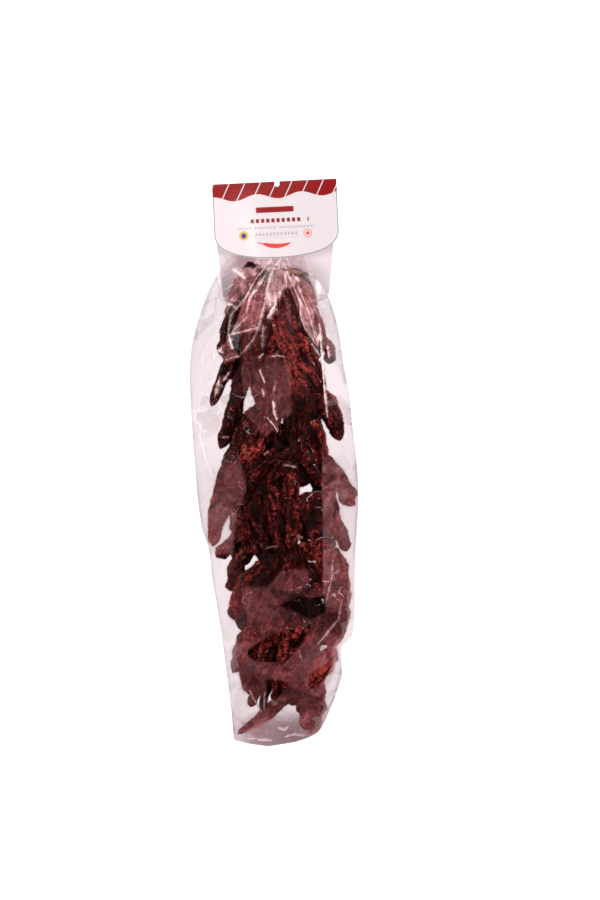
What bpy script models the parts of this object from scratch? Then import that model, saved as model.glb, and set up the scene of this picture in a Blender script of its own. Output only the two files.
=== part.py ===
"""A string of long dried peppers in a clear film bag that a folded header card closes, lying face up.

Metres, +Z up, +Y towards the card's fold. The origin is under the middle of the object, at the level it rests on.
There are two solids: the folded card, and the filled bag out to its uneven outline.
Lengths below are in millimetres, and MM turns them into metres.
"""

import math

import bmesh
import bpy
import numpy as np

MM = 0.001

# The bag's side folds and its height, each as (Y, value) from the card's fold down to the foot.
LEFT_FOLD = (
    (337, -50), (300, -46), (262, -47), (244, -52.5), (228, -65), (207, -78), (186, -88.6), (160, -96.4),
    (133, -101.6), (108, -103), (69, -101.6), (-6, -96.4), (-51, -92.4), (-79, -88), (-104, -80), (-140, -75.6),
    (-181, -68.7), (-229, -61.7), (-274, -56), (-308, -52), (-339, -49), (-345, -31), (-347.8, -11),
)
RIGHT_FOLD = (
    (337, 52), (300, 42), (262, 34), (244, 38), (228, 50), (213, 60), (199, 68), (160, 79), (120, 85), (81, 92),
    (42, 96), (3, 100.7), (-42, 103), (-84, 101), (-126, 98.7), (-181, 98.7), (-209, 96), (-229, 82),
    (-257, 83), (-277, 78), (-307, 66.5), (-319, 61), (-330, 54.5), (-336, 45), (-343, 25), (-347.8, -3),
)
CROWN = (
    (337, 3.5), (300, 16), (249, 31), (205, 50), (172, 60), (120, 62), (60, 59), (-20, 57), (-110, 55),
    (-200, 56), (-250, 50), (-285, 40), (-310, 28), (-330, 17), (-347.8, 4),
)
FOLD_HEIGHT = 0.38  # the side fold's height as a share of the crown
FLAT_SHARE = 0.62  # the flat part of the underside as a share of the width
STATION_STEP = 8.8
FOOT_STATIONS = (-347.8, -346.6, -345, -342, -338, -333, -327, -319, -310)
TOP_COLUMNS = 41
EDGE_CROWDING = 0.35  # 0 spaces the columns evenly, 1 crowds them at the side folds
UNDERSIDE = (0.92, 0.8, FLAT_SHARE, 0, -FLAT_SHARE, -0.8, -0.92)

# The peppers that press on the film hang in rows down the string.
PEPPER_ROW_STEP = 42
PEPPER_LENGTH = (85, 125)
PEPPER_WIDTH = (22, 32)
PEPPER_RELIEF = 9
PLEATS = 13
PLEAT_RELIEF = 1.6

# The header card, measured from the middle of its fold: "down" runs along a flap, "across" along the fold.
CARD_THICKNESS = 0.5
CARD_FOLD_Y = 343.9
CARD_TURN = math.radians(2.8)
CARD_HALF_WIDTH = 76.3
FOLD_RADIUS = 1.7
FRONT_SIDE, FRONT_LENGTH, FRONT_ROUNDING = 62, 95.5, 2.3
BACK_LENGTH, BACK_TAPER, BACK_CORNER, BACK_ROUNDING = 152, 12, 30, 2.4
FRONT_LIFT = 28
NOTCH_ACROSS, NOTCH_WIDTH, NOTCH_DEPTH = 3.3, 6, 6.5
CLEARANCE = 0.4


def level_curve(points, at):
    """A smooth curve through (position, value) points that never overshoots them (Fritsch and Carlson)."""
    x, y = np.array(sorted(points), float).T
    slope = np.diff(y) / np.diff(x)
    tangent = np.zeros_like(y)
    same_way = slope[:-1] * slope[1:] > 0
    tangent[1:-1][same_way] = 2 / (1 / slope[:-1][same_way] + 1 / slope[1:][same_way])
    tangent[0], tangent[-1] = slope[0], slope[-1]
    i = np.clip(np.searchsorted(x, at, side="right") - 1, 0, len(x) - 2)
    width = x[i + 1] - x[i]
    t = np.clip((at - x[i]) / width, 0, 1)
    start = (2 * t**3 - 3 * t**2 + 1) * y[i] + (t**3 - 2 * t**2 + t) * width * tangent[i]
    return start + (3 * t**2 - 2 * t**3) * y[i + 1] + (t**3 - t**2) * width * tangent[i + 1]


def to_card(x, y):
    """Across and down on the card for a place in X and Y."""
    away = CARD_FOLD_Y - y
    across = x * math.cos(CARD_TURN) - away * math.sin(CARD_TURN)
    return across, away * math.cos(CARD_TURN) + x * math.sin(CARD_TURN)


def from_card(across, down):
    x = across * math.cos(CARD_TURN) + down * math.sin(CARD_TURN)
    return x, CARD_FOLD_Y + across * math.sin(CARD_TURN) - down * math.cos(CARD_TURN)


def front_height(across, down):
    """The front flap's middle layer: it leans up over the gathered neck and waves across its width."""
    lift = np.clip(down / FRONT_LENGTH, 0, 1.2) ** 1.1
    hump = 1 - 0.62 * np.abs((across + 6) / CARD_HALF_WIDTH) ** 1.7
    wave = 1.6 * np.cos((across + 34) / 11.5) * np.exp(-(((across + 8) / 52) ** 2))
    return CARD_THICKNESS / 2 + 2 * FOLD_RADIUS + lift * (FRONT_LIFT * hump + wave)


def pepper_ridges():
    """Rows of (root x, root y, direction x, direction y, length, width), leaning out from the string."""
    dice = np.random.default_rng(7)
    ridges = []
    for row, y in enumerate(np.arange(232, -275, -PEPPER_ROW_STEP)):
        for side in (-1, 0, 1):
            length = dice.uniform(*PEPPER_LENGTH)
            lean = math.radians(side * 24 + dice.uniform(-9, 9))
            root = (side * 24 + dice.uniform(-5, 5), y + side * (-1) ** row * 12)
            ridges.append((*root, math.sin(lean), -math.cos(lean), length, dice.uniform(*PEPPER_WIDTH)))
    return np.array(ridges)


RIDGES = pepper_ridges()


def ridge_relief(x, y):
    """How far the nearest pepper lifts the film above the hollows between them."""
    root_x, root_y, dir_x, dir_y, length, width = RIDGES.T[:, :, None, None]
    along = ((x - root_x) * dir_x + (y - root_y) * dir_y) / length
    across = (x - root_x) * dir_y - (y - root_y) * dir_x
    half = width / 2 * np.clip(1.15 - 0.75 * np.clip(along, 0, 1) ** 2, 0.2, 1)
    ends = np.clip(np.minimum(along + 0.08, 1.02 - along) * 7, 0, 1)
    return PEPPER_RELIEF * (np.sqrt(np.clip(1 - (across / half) ** 2, 0, 1)) * np.sqrt(ends)).max(axis=0)


def pleat_relief(x, y):
    """Folds that fan out from the gathered neck and die away down the bag."""
    neck_x, neck_y = -6, 290
    angle = np.arctan2(x - neck_x, neck_y - y)
    reach = np.hypot(x - neck_x, y - neck_y)
    return PLEAT_RELIEF * np.cos(angle * PLEATS) * np.exp(-(((reach - 70) / 60) ** 2))


def bag_stations():
    rest = np.arange(-300, 328, STATION_STEP)
    return np.concatenate([FOOT_STATIONS, rest, [332, 337]])


def bag_sections():
    """The bag's rings, one for each station: (station, ring point, 3) in millimetres."""
    y = bag_stations()[:, None]
    left, right, crown = (level_curve(table, y) for table in (LEFT_FOLD, RIGHT_FOLD, CROWN))
    middle, half = (left + right) / 2, (right - left) / 2
    fold = FOLD_HEIGHT * crown
    rest = np.where(y > 186, CARD_THICKNESS + CLEARANCE, 0.0)

    even = np.linspace(-1, 1, TOP_COLUMNS)[None, :]
    across = even + EDGE_CROWDING * (np.sin(even * math.pi / 2) - even)
    top_x = middle + half * across
    top_y = y + 0 * across
    neck_share = np.clip((y - 200) / 45, 0, 1)
    dome = (1 - np.abs(across) ** 2.4) ** (1.25 - 0.75 * neck_share)
    filled = np.clip((crown - 10) / 30, 0, 1)
    relief = (ridge_relief(top_x, top_y) - 0.5 * PEPPER_RELIEF) * filled + pleat_relief(top_x, top_y)
    top_z = fold + (crown - fold) * dome + relief * (1 - across**4)
    under_flap = front_height(*to_card(top_x, top_y)) - CARD_THICKNESS / 2 - CLEARANCE
    limit = under_flap + np.clip(244 - top_y, 0, None) * 0.9
    top_z = np.clip(np.minimum(top_z, limit), rest + 0.8, None)

    across = np.array(UNDERSIDE)[None, :]
    lift = np.clip((np.abs(across) - FLAT_SHARE) / (1 - FLAT_SHARE), 0, 1) ** 2
    under_z = rest + (top_z[:, [0]] - rest) * lift
    under = np.stack([middle + half * across, y + 0 * across, under_z], axis=-1)
    return np.concatenate([np.stack([top_x, top_y, top_z], axis=-1), under], axis=1)


def add_object(name, mesh, collection):
    made = bpy.data.objects.new(name, mesh)
    collection.objects.link(made)
    return made


def loft(name, rings):
    """A closed mesh through rings of points, with a flat cap at each end."""
    shape = bmesh.new()
    rows = [[shape.verts.new(point * MM) for point in ring] for ring in rings]
    for near, far in zip(rows, rows[1:]):
        for i in range(len(near)):
            j = (i + 1) % len(near)
            shape.faces.new((near[i], near[j], far[j], far[i]))
    shape.faces.new(rows[0][::-1])
    shape.faces.new(rows[-1])
    bmesh.ops.recalc_face_normals(shape, faces=shape.faces)
    bmesh.ops.triangulate(shape, faces=[face for face in shape.faces if len(face.verts) > 4])
    mesh = bpy.data.meshes.new(name)
    shape.to_mesh(mesh)
    shape.free()
    return mesh


def card_rows():
    """The card's middle layer from the front flap's lower edge, over the fold, to the back flap's lower edge."""
    across = np.sin(np.linspace(-1, 1, 21) * math.pi / 2)
    width = across * CARD_HALF_WIDTH
    front_end = FRONT_SIDE + (FRONT_LENGTH - FRONT_SIDE) * (1 - np.abs(across) ** FRONT_ROUNDING) ** (
        1 / FRONT_ROUNDING
    )
    back_end = BACK_LENGTH - BACK_CORNER * (1 - (1 - np.abs(across) ** 5) ** (1 / BACK_ROUNDING))
    rows = []
    for share in np.linspace(1, 0, 13):
        down = FOLD_RADIUS + (front_end - FOLD_RADIUS) * share
        rows.append(np.stack([*from_card(width, down), front_height(width, down)], axis=-1))
    for turn in np.linspace(0, math.pi, 6)[1:-1]:
        down = FOLD_RADIUS * (1 - math.sin(turn)) + 0 * width
        height = CARD_THICKNESS / 2 + FOLD_RADIUS * (1 + math.cos(turn)) + 0 * width
        rows.append(np.stack([*from_card(width, down), height], axis=-1))
    for share in np.linspace(0, 1, 11):
        down = FOLD_RADIUS + (back_end - FOLD_RADIUS) * share
        taper = 1 - BACK_TAPER / CARD_HALF_WIDTH * (down / BACK_LENGTH) ** 1.5
        rows.append(np.stack([*from_card(width * taper, down), 0 * width + CARD_THICKNESS / 2], axis=-1))
    return rows


def sheet(name, rows):
    """An open mesh through rows of points."""
    shape = bmesh.new()
    grid = [[shape.verts.new(point * MM) for point in row] for row in rows]
    for near, far in zip(grid, grid[1:]):
        for i in range(len(near) - 1):
            shape.faces.new((near[i], near[i + 1], far[i + 1], far[i]))
    mesh = bpy.data.meshes.new(name)
    shape.to_mesh(mesh)
    shape.free()
    return mesh


def notch_cutter(collection):
    """A round-ended slot through both layers at the fold, open towards +Y."""
    shape = bmesh.new()
    radius = NOTCH_WIDTH / 2 * MM
    bmesh.ops.create_cone(shape, cap_ends=True, segments=24, radius1=radius, radius2=radius, depth=20 * MM)
    for corner in shape.verts:
        if corner.co.y > radius / 50:
            corner.co.y += 10 * MM
    mesh = bpy.data.meshes.new("hanging_notch")
    shape.to_mesh(mesh)
    shape.free()
    cutter = add_object("hanging_notch", mesh, collection)
    x, y = from_card(NOTCH_ACROSS, NOTCH_DEPTH - NOTCH_WIDTH / 2)
    cutter.location = (x * MM, y * MM, 0)
    cutter.rotation_euler.z = CARD_TURN
    cutter.hide_render = True
    cutter.display_type = "WIRE"
    return cutter


def finish_of(name, colour, roughness, coat):
    material = bpy.data.materials.new(name)
    material.use_nodes = True
    surface = material.node_tree.nodes["Principled BSDF"]
    surface.inputs["Base Color"].default_value = (*colour, 1)
    surface.inputs["Roughness"].default_value = roughness
    surface.inputs["Coat Weight"].default_value = coat
    return material


def make_card(parts, cutters):
    card = add_object("header_card", sheet("header_card", card_rows()), parts)
    layer = card.modifiers.new("thickness", "SOLIDIFY")
    layer.thickness = CARD_THICKNESS * MM
    layer.offset = 0
    cut = card.modifiers.new("notch", "BOOLEAN")
    cut.operation = "DIFFERENCE"
    cut.object = notch_cutter(cutters)
    card.data.materials.append(finish_of("coated_card", (0.88, 0.80, 0.82), 0.35, 0.3))


def make_bag(parts):
    bag = add_object("filled_bag", loft("filled_bag", bag_sections()), parts)
    bag.data.shade_smooth()
    bag.data.materials.append(finish_of("film_over_peppers", (0.06, 0.012, 0.01), 0.3, 0.8))


def new_collection(name):
    made = bpy.data.collections.new(name)
    bpy.context.scene.collection.children.link(made)
    return made


def main():
    for thing in list(bpy.data.objects):
        bpy.data.objects.remove(thing, do_unlink=True)
    parts = new_collection("string_of_dried_peppers")
    cutters = new_collection("cutters")
    make_card(parts, cutters)
    make_bag(parts)


main()
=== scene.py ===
"""Dresses a bagged string of dried peppers: every pepper, the film drawn over them and the printed card.

Lengths are in millimetres and MM turns them into metres. Z is up, Y runs along the string to the card's fold.
"""
import math

import bmesh
import bpy
import numpy as np
from mathutils import Matrix, Vector
from mathutils.geometry import delaunay_2d_cdt


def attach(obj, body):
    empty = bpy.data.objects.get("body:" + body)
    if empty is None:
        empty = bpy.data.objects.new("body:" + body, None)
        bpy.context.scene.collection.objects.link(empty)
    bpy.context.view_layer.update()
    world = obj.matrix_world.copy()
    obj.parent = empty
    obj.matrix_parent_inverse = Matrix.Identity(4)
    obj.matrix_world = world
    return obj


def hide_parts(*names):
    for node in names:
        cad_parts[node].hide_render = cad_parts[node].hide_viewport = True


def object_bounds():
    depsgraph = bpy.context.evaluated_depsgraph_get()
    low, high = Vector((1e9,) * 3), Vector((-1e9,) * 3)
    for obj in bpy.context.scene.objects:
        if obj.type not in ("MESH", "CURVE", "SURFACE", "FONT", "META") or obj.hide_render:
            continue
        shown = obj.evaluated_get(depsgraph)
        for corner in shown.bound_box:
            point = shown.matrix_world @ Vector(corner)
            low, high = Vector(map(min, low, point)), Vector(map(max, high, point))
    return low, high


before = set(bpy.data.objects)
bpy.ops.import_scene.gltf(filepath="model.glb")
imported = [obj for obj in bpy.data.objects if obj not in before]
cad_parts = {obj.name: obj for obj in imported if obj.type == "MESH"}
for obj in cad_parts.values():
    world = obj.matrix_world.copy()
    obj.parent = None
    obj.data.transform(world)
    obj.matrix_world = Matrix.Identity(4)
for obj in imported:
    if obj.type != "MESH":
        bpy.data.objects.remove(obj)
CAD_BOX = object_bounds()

MM = 0.001


# ---------------------------------------------------------------- node trees


class Field:
    """A number, colour or vector that varies over a shape: a node's output that takes plain arithmetic."""

    def __init__(self, tree, socket):
        self.tree, self.socket = tree, socket

    def math(self, operation, *others):
        return read(self.tree, "ShaderNodeMath", 0, dict(enumerate((self, *others))), operation=operation)

    def __add__(self, other):
        return self.math("ADD", other)

    def __sub__(self, other):
        return self.math("SUBTRACT", other)

    def __mul__(self, other):
        return self.math("MULTIPLY", other)

    def __truediv__(self, other):
        return self.math("DIVIDE", other)

    def __pow__(self, other):
        return self.math("POWER", other)

    def __rsub__(self, other):
        return self * -1.0 + other

    def __abs__(self):
        return self.math("ABSOLUTE")

    __radd__, __rmul__ = __add__, __mul__

    def clamp(self, low=0.0, high=1.0):
        return self.math("MAXIMUM", low).math("MINIMUM", high)

    def ramp(self, start, end, low=0.0, high=1.0):
        """Runs smoothly from low to high as this goes from start to end."""
        return read(self.tree, "ShaderNodeMapRange", 0, {0: self, 1: start, 2: end, 3: low, 4: high},
                    interpolation_type="SMOOTHSTEP")


def fill(node, inputs):
    """Links or sets a node's inputs, each by its name or number."""
    for key, value in inputs.items():
        if isinstance(value, Field):
            value.tree.links.new(value.socket, node.inputs[key])
        else:
            node.inputs[key].default_value = value


def add_node(tree, kind, inputs=None, **settings):
    """A node with its settings made and its inputs filled."""
    made = tree.nodes.new(kind)
    for name, value in settings.items():
        setattr(made, name, value)
    fill(made, inputs or {})
    return made


def read(tree, kind, output=0, inputs=None, **settings):
    """What one output of a new node gives."""
    return Field(tree, add_node(tree, kind, inputs, **settings).outputs[output])


def vector_node(tree, operation, *values):
    return read(tree, "ShaderNodeVectorMath", 0, dict(enumerate(values)), operation=operation)


def scaled(tree, vector, by):
    return read(tree, "ShaderNodeVectorMath", 0, {0: vector, "Scale": by}, operation="SCALE")


def joined(tree, x, y, z):
    return read(tree, "ShaderNodeCombineXYZ", 0, {0: x, 1: y, 2: z})


def noise(tree, place, scale, detail=2.0, roughness=0.5, distortion=0.0):
    return read(tree, "ShaderNodeTexNoise", 0, {"Vector": place, "Scale": scale, "Detail": detail,
                                                "Roughness": roughness, "Distortion": distortion})


def ridged(field, sharpness):
    """Sharp crests where a noise field crosses its middle, rounded valleys between them."""
    return 1.0 - (abs(field - 0.5) * sharpness).math("MINIMUM", 1.0)


def open_tree(name, kind, inputs, outputs):
    """A tree with named sockets, given as (type, name) or (type, name, value), and what goes into it."""
    tree = bpy.data.node_groups.new(name, kind)
    for way, sockets in (("INPUT", inputs), ("OUTPUT", outputs)):
        for socket_type, label, *value in sockets:
            socket = tree.interface.new_socket(label, in_out=way, socket_type="NodeSocket" + socket_type)
            if value:
                socket.default_value = value[0]
    entry = tree.nodes.new("NodeGroupInput")
    return tree, {socket.name: Field(tree, socket) for socket in entry.outputs if socket.name}


# ---------------------------------------------------------------- plain objects


def placed(name, data):
    """A new object in the scene."""
    thing = bpy.data.objects.new(name, data)
    bpy.context.scene.collection.objects.link(thing)
    return thing


def finished(name, thing):
    """A thing turned into the plain mesh that its modifiers make of it."""
    graph = bpy.context.evaluated_depsgraph_get()
    plain = bpy.data.meshes.new_from_object(thing.evaluated_get(graph))
    bpy.data.objects.remove(thing, do_unlink=True)
    plain.name = name
    return placed(name, plain)


def mesh_of(shape, name):
    mesh = bpy.data.meshes.new(name)
    shape.to_mesh(mesh)
    shape.free()
    return mesh


# ---------------------------------------------------------------- what grows along a spine

SPINE_POINTS = 26


def smooth_path(points, count):
    """Evenly spaced places on a Catmull-Rom curve through some points."""
    points = np.array(points, float)
    padded = np.vstack([2 * points[0] - points[1], points, 2 * points[-1] - points[-2]])
    fine = []
    for before, start, end, after in zip(padded, padded[1:], padded[2:], padded[3:]):
        t = np.linspace(0, 1, 24, endpoint=False)[:, None]
        bend = (2 * before - 5 * start + 4 * end - after) * t**2
        bend = bend + (3 * start - before - 3 * end + after) * t**3
        fine.append((2 * start + (end - before) * t + bend) / 2)
    fine = np.vstack([*fine, points[-1:]])
    run = np.concatenate([[0], np.cumsum(np.linalg.norm(np.diff(fine, axis=0), axis=1))])
    even = np.linspace(0, run[-1], count)
    return np.stack([np.interp(even, run, column) for column in fine.T], axis=1)


def spine_mesh(name, spines):
    """Spines as chains of edges, with what the geometry trees read at each point."""
    places = np.concatenate([spine["spine"] for spine in spines]) * MM
    edges = [
        (start + i, start + i + 1)
        for start in range(0, len(places), SPINE_POINTS)
        for i in range(SPINE_POINTS - 1)
    ]
    mesh = bpy.data.meshes.new(name)
    mesh.from_pydata(places.tolist(), edges, [])
    for label in ("along", "run", "girth", "seed", "roll", "tone_with_painted_shading"):
        values = np.concatenate([np.broadcast_to(spine[label], SPINE_POINTS) for spine in spines])
        mesh.attributes.new(label, "FLOAT", "POINT").data.foreach_set("value", values.astype(np.float32))
    return mesh


def geometry_tree(name, sizes, counts):
    """A tree with a shape, named sizes and counts and a material going in, and a shape coming out."""
    numbers = [("Float", *size) for size in sizes.items()] + [("Int", *count) for count in counts.items()]
    return open_tree(name, "GeometryNodeTree", (("Geometry", "Shape"), *numbers, ("Material", "Finish")),
                     (("Geometry", "Shape"),))


def geometry_step(tree, kind, shape, inputs=None, **settings):
    """A geometry node that takes a shape at its first input."""
    return read(tree, kind, 0, {0: shape, **(inputs or {})}, **settings)


def stored(tree, shape, name, value, data_type="FLOAT"):
    return geometry_step(tree, "GeometryNodeStoreNamedAttribute", shape, {"Name": name, "Value": value},
                         data_type=data_type)


def attribute_of(tree, name, data_type="FLOAT"):
    return read(tree, "GeometryNodeInputNamedAttribute", 0, {"Name": name}, data_type=data_type)


def swept(tree, given):
    """A round skin along each spine: the skin, its places, the spine's, how far round they are, the girth."""
    curve = geometry_step(tree, "GeometryNodeMeshToCurve", given["Shape"])
    curve = geometry_step(tree, "GeometryNodeCurveSplineType", curve, spline_type="CATMULL_ROM")
    curve = geometry_step(tree, "GeometryNodeResampleCurve", curve, {"Count": given["Rings"]})
    curve = geometry_step(tree, "GeometryNodeSetCurveNormal", curve, mode="Z_UP")
    here = read(tree, "GeometryNodeInputPosition")
    curve = stored(tree, curve, "spine", here, "FLOAT_VECTOR")
    ring = read(tree, "GeometryNodeCurvePrimitiveCircle", 0,
                {"Resolution": given["Points around"], "Radius": 1.0})
    share = read(tree, "GeometryNodeSplineParameter", "Factor")
    ring = stored(tree, ring, "around", share * math.tau)
    girth = attribute_of(tree, "girth")
    skin = geometry_step(tree, "GeometryNodeCurveToMesh", curve,
                         {"Profile Curve": ring, "Scale": girth, "Fill Caps": True})
    return skin, here, attribute_of(tree, "spine", "FLOAT_VECTOR"), attribute_of(tree, "around"), girth


def close_tree(tree, skin, place, finish):
    """Moves the skin's points to their places and ends the tree in a plain, smooth shape with its finish."""
    skin = geometry_step(tree, "GeometryNodeSetPosition", skin, {"Position": place})
    skin = geometry_step(tree, "GeometryNodeRealizeInstances", skin)
    skin = geometry_step(tree, "GeometryNodeSetShadeSmooth", skin)
    skin = geometry_step(tree, "GeometryNodeSetMaterial", skin, {"Material": finish})
    add_node(tree, "NodeGroupOutput", {0: skin})
    return tree


def grown(name, spines, tree, finish, **counts):
    """What a geometry tree grows along some spines, as one plain mesh."""
    seedling = placed(name, spine_mesh(name, spines))
    modifier = seedling.modifiers.new("shape", "NODES")
    modifier.node_group = tree
    chosen = {"Finish": finish, **counts}
    for item in tree.interface.items_tree:
        if item.in_out == "INPUT" and item.name in chosen:
            modifier[item.identifier] = chosen[item.name]
    return finished(name, seedling)


# ---------------------------------------------------------------- finishes: what the materials share


def new_finish(name):
    """A material, its tree and its surface shader."""
    material = bpy.data.materials.new(name)
    material.use_nodes = True
    return material, material.node_tree, material.node_tree.nodes["Principled BSDF"]


def painted(tree, *names):
    """Values that a piece's points carry."""
    return [read(tree, "ShaderNodeAttribute", "Fac", attribute_name=name) for name in names]


def mixed(tree, share, first, second):
    """The colour that lies a share of the way from one to another."""
    return read(tree, "ShaderNodeMix", 2, {0: share, 6: first, 7: second}, data_type="RGBA")


def bumped(tree, height, strength, distance):
    return read(tree, "ShaderNodeBump", 0, {"Height": height, "Strength": strength, "Distance": distance})


NOISE_SIZES = (("Vector", "Place"), ("Float", "Scale", 1.0), ("Float", "Detail", 2.0),
               ("Float", "Roughness", 0.5), ("Float", "Distortion", 0.0))


def inner_noise(tree, given):
    return noise(tree, *(given[label] for _, label, *_ in NOISE_SIZES))


def ridge_group():
    """Sharp crests with rounded valleys between them: the skin's creping and the film's streaks."""
    tree, given = open_tree("ridges", "ShaderNodeTree", (*NOISE_SIZES, ("Float", "Sharpness", 5.0)),
                            (("Float", "Crests"),))
    add_node(tree, "NodeGroupOutput", {"Crests": ridged(inner_noise(tree, given), given["Sharpness"])})
    return tree


def fibre_group():
    """Fine fibres and a colour that follows them: the board inside and out, and the stalks."""
    tree, given = open_tree("fibres", "ShaderNodeTree", (*NOISE_SIZES, ("Color", "Dark"), ("Color", "Light")),
                            (("Float", "Fibres"), ("Color", "Colour")))
    fibres = inner_noise(tree, given)
    colour = mixed(tree, fibres, given["Dark"], given["Light"])
    add_node(tree, "NodeGroupOutput", {"Fibres": fibres, "Colour": colour})
    return tree


RIDGES, FIBRES = ridge_group(), fibre_group()


def crests(tree, place, scale, detail, roughness, distortion, sharpness):
    return read(tree, "ShaderNodeGroup", "Crests", {
        "Place": place, "Scale": scale, "Detail": detail, "Roughness": roughness, "Distortion": distortion,
        "Sharpness": sharpness}, node_tree=RIDGES)


def fibrous(tree, scale, detail, roughness, distortion=0.0, dark=(0, 0, 0, 1), light=(1, 1, 1, 1)):
    """The fibres' height, and the colour between dark and light that follows it."""
    made = add_node(tree, "ShaderNodeGroup", {
        "Place": read(tree, "ShaderNodeTexCoord", "Object"), "Scale": scale, "Detail": detail,
        "Roughness": roughness, "Distortion": distortion, "Dark": dark, "Light": light}, node_tree=FIBRES)
    return Field(tree, made.outputs["Fibres"]), Field(tree, made.outputs["Colour"])


# ---------------------------------------------------------------- bag outline and card shape

# The bag's side folds, their height and the height of its crown, each as (Y, value) from the top to the foot.
LEFT_FOLD = (
    (337, -50), (300, -46), (262, -48), (248, -56), (238, -64), (224, -73), (208, -80.5), (186, -89),
    (160, -96.4), (133, -101.6), (108, -103), (69, -101.6), (-6, -96.4), (-51, -92.4), (-79, -88),
    (-104, -80), (-140, -75.6), (-181, -68.7), (-229, -61.7), (-274, -56), (-308, -52), (-339, -49),
    (-345, -31), (-347.8, -11),
)
RIGHT_FOLD = (
    (337, 52), (300, 42), (262, 34), (244, 38), (228, 50), (213, 60), (199, 68), (160, 79), (120, 85),
    (81, 92), (42, 96), (3, 100.7), (-42, 103), (-84, 101), (-126, 98.7), (-181, 98.7), (-209, 96),
    (-229, 82), (-257, 83), (-277, 78), (-307, 66.5), (-319, 61), (-330, 54.5), (-336, 45), (-343, 25),
    (-347.8, -3),
)
FOLD_HEIGHT = (
    (337, 2.2), (300, 5), (249, 9), (205, 13), (150, 18), (60, 21), (-110, 20), (-200, 17), (-280, 12),
    (-325, 7), (-347.8, 1.5),
)
CROWN = (
    (337, 3.5), (300, 16), (249, 31), (205, 50), (172, 60), (120, 62), (60, 59), (-20, 57), (-110, 55),
    (-200, 56), (-250, 50), (-285, 40), (-310, 28), (-330, 17), (-347.8, 4),
)
FLAT_SHARE = 0.6  # how much of the bag's width lies flat
FOOT = -347.8
# How high the back film lies on what is under it, and on the card's back flap, which ends at this Y.
BACK_REST, BACK_REST_ON_CARD, BACK_FLAP_FOOT = 0.35, 1.0, 186

CARD_THICKNESS, FOLD_RADIUS = 0.5, 1.7
CARD_FOLD_Y, CARD_TURN = 343.9, math.radians(2.8)
CARD_HALF_WIDTH = 76.3
# The front flap: how far down its straight sides and its round lower edge reach, how full that edge is, and
# how high the flap leans over the neck.
FRONT_SIDE, FRONT_LENGTH, FRONT_ROUNDING, FRONT_LIFT = 62, 95.5, 2.3, 28
# The back flap: its length, how much each side tapers, how far it leans over, and its corners.
BACK_LENGTH, BACK_TAPER, BACK_LEAN, BACK_CORNER, BACK_ROUNDING = 152, 13, 4.5, 14, 2.4
NOTCH_ACROSS, NOTCH_WIDTH, NOTCH_DEPTH = 3.3, 6, 6.5
UV_SPAN = 400.0  # how much of the card its map's unit square spans


def reached(value, start, end):
    """How far a value is from a start, 0, to an end, 1, and no further."""
    return np.clip((value - start) / (end - start), 0, 1)


def level_curve(points, at):
    """A smooth curve through (position, value) points that never overshoots them (Fritsch and Carlson)."""
    x, y = np.array(sorted(points), float).T
    slope = np.diff(y) / np.diff(x)
    tangent = np.zeros_like(y)
    same_way = slope[:-1] * slope[1:] > 0
    tangent[1:-1][same_way] = 2 / (1 / slope[:-1][same_way] + 1 / slope[1:][same_way])
    tangent[0], tangent[-1] = slope[0], slope[-1]
    i = np.clip(np.searchsorted(x, at, side="right") - 1, 0, len(x) - 2)
    width = x[i + 1] - x[i]
    t = np.clip((at - x[i]) / width, 0, 1)
    start = (2 * t**3 - 3 * t**2 + 1) * y[i] + (t**3 - 2 * t**2 + t) * width * tangent[i]
    return start + (3 * t**2 - 2 * t**3) * y[i + 1] + (t**3 - t**2) * width * tangent[i + 1]


def across_bag(x, y):
    """How far across the bag a place is, from -1 at the left fold to 1 at the right."""
    left, right = level_curve(LEFT_FOLD, y), level_curve(RIGHT_FOLD, y)
    return (2 * x - left - right) / (right - left)


def back_height(x, y):
    """The back film: flat where it lies, up to the side folds, and over the card's back flap at the neck."""
    rest = np.where(y > BACK_FLAP_FOOT, BACK_REST_ON_CARD, BACK_REST)
    lift = reached(np.abs(across_bag(x, y)), FLAT_SHARE, 1) ** 2
    return rest + (level_curve(FOLD_HEIGHT, y) - rest) * lift


def to_card(x, y):
    """Across and down on the card for a place in X and Y."""
    away = CARD_FOLD_Y - y
    across = x * math.cos(CARD_TURN) - away * math.sin(CARD_TURN)
    return across, away * math.cos(CARD_TURN) + x * math.sin(CARD_TURN)


def from_card(across, down):
    """The place in X and Y that lies so far across and down on the card."""
    x = across * math.cos(CARD_TURN) + down * math.sin(CARD_TURN)
    return x, CARD_FOLD_Y + across * math.sin(CARD_TURN) - down * math.cos(CARD_TURN)


def front_height(across, down):
    """The front flap's middle layer: it leans up over the gathered neck and waves across its width."""
    lift = np.clip(down / FRONT_LENGTH, 0, 1.2) ** 1.1
    hump = 1 - 0.62 * np.abs((across + 6) / CARD_HALF_WIDTH) ** 1.7
    wave = 1.6 * np.cos((across + 34) / 11.5) * np.exp(-(((across + 8) / 52) ** 2))
    return CARD_THICKNESS / 2 + 2 * FOLD_RADIUS + lift * (FRONT_LIFT * hump + wave)


# ---------------------------------------------------------------- peppers

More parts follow.
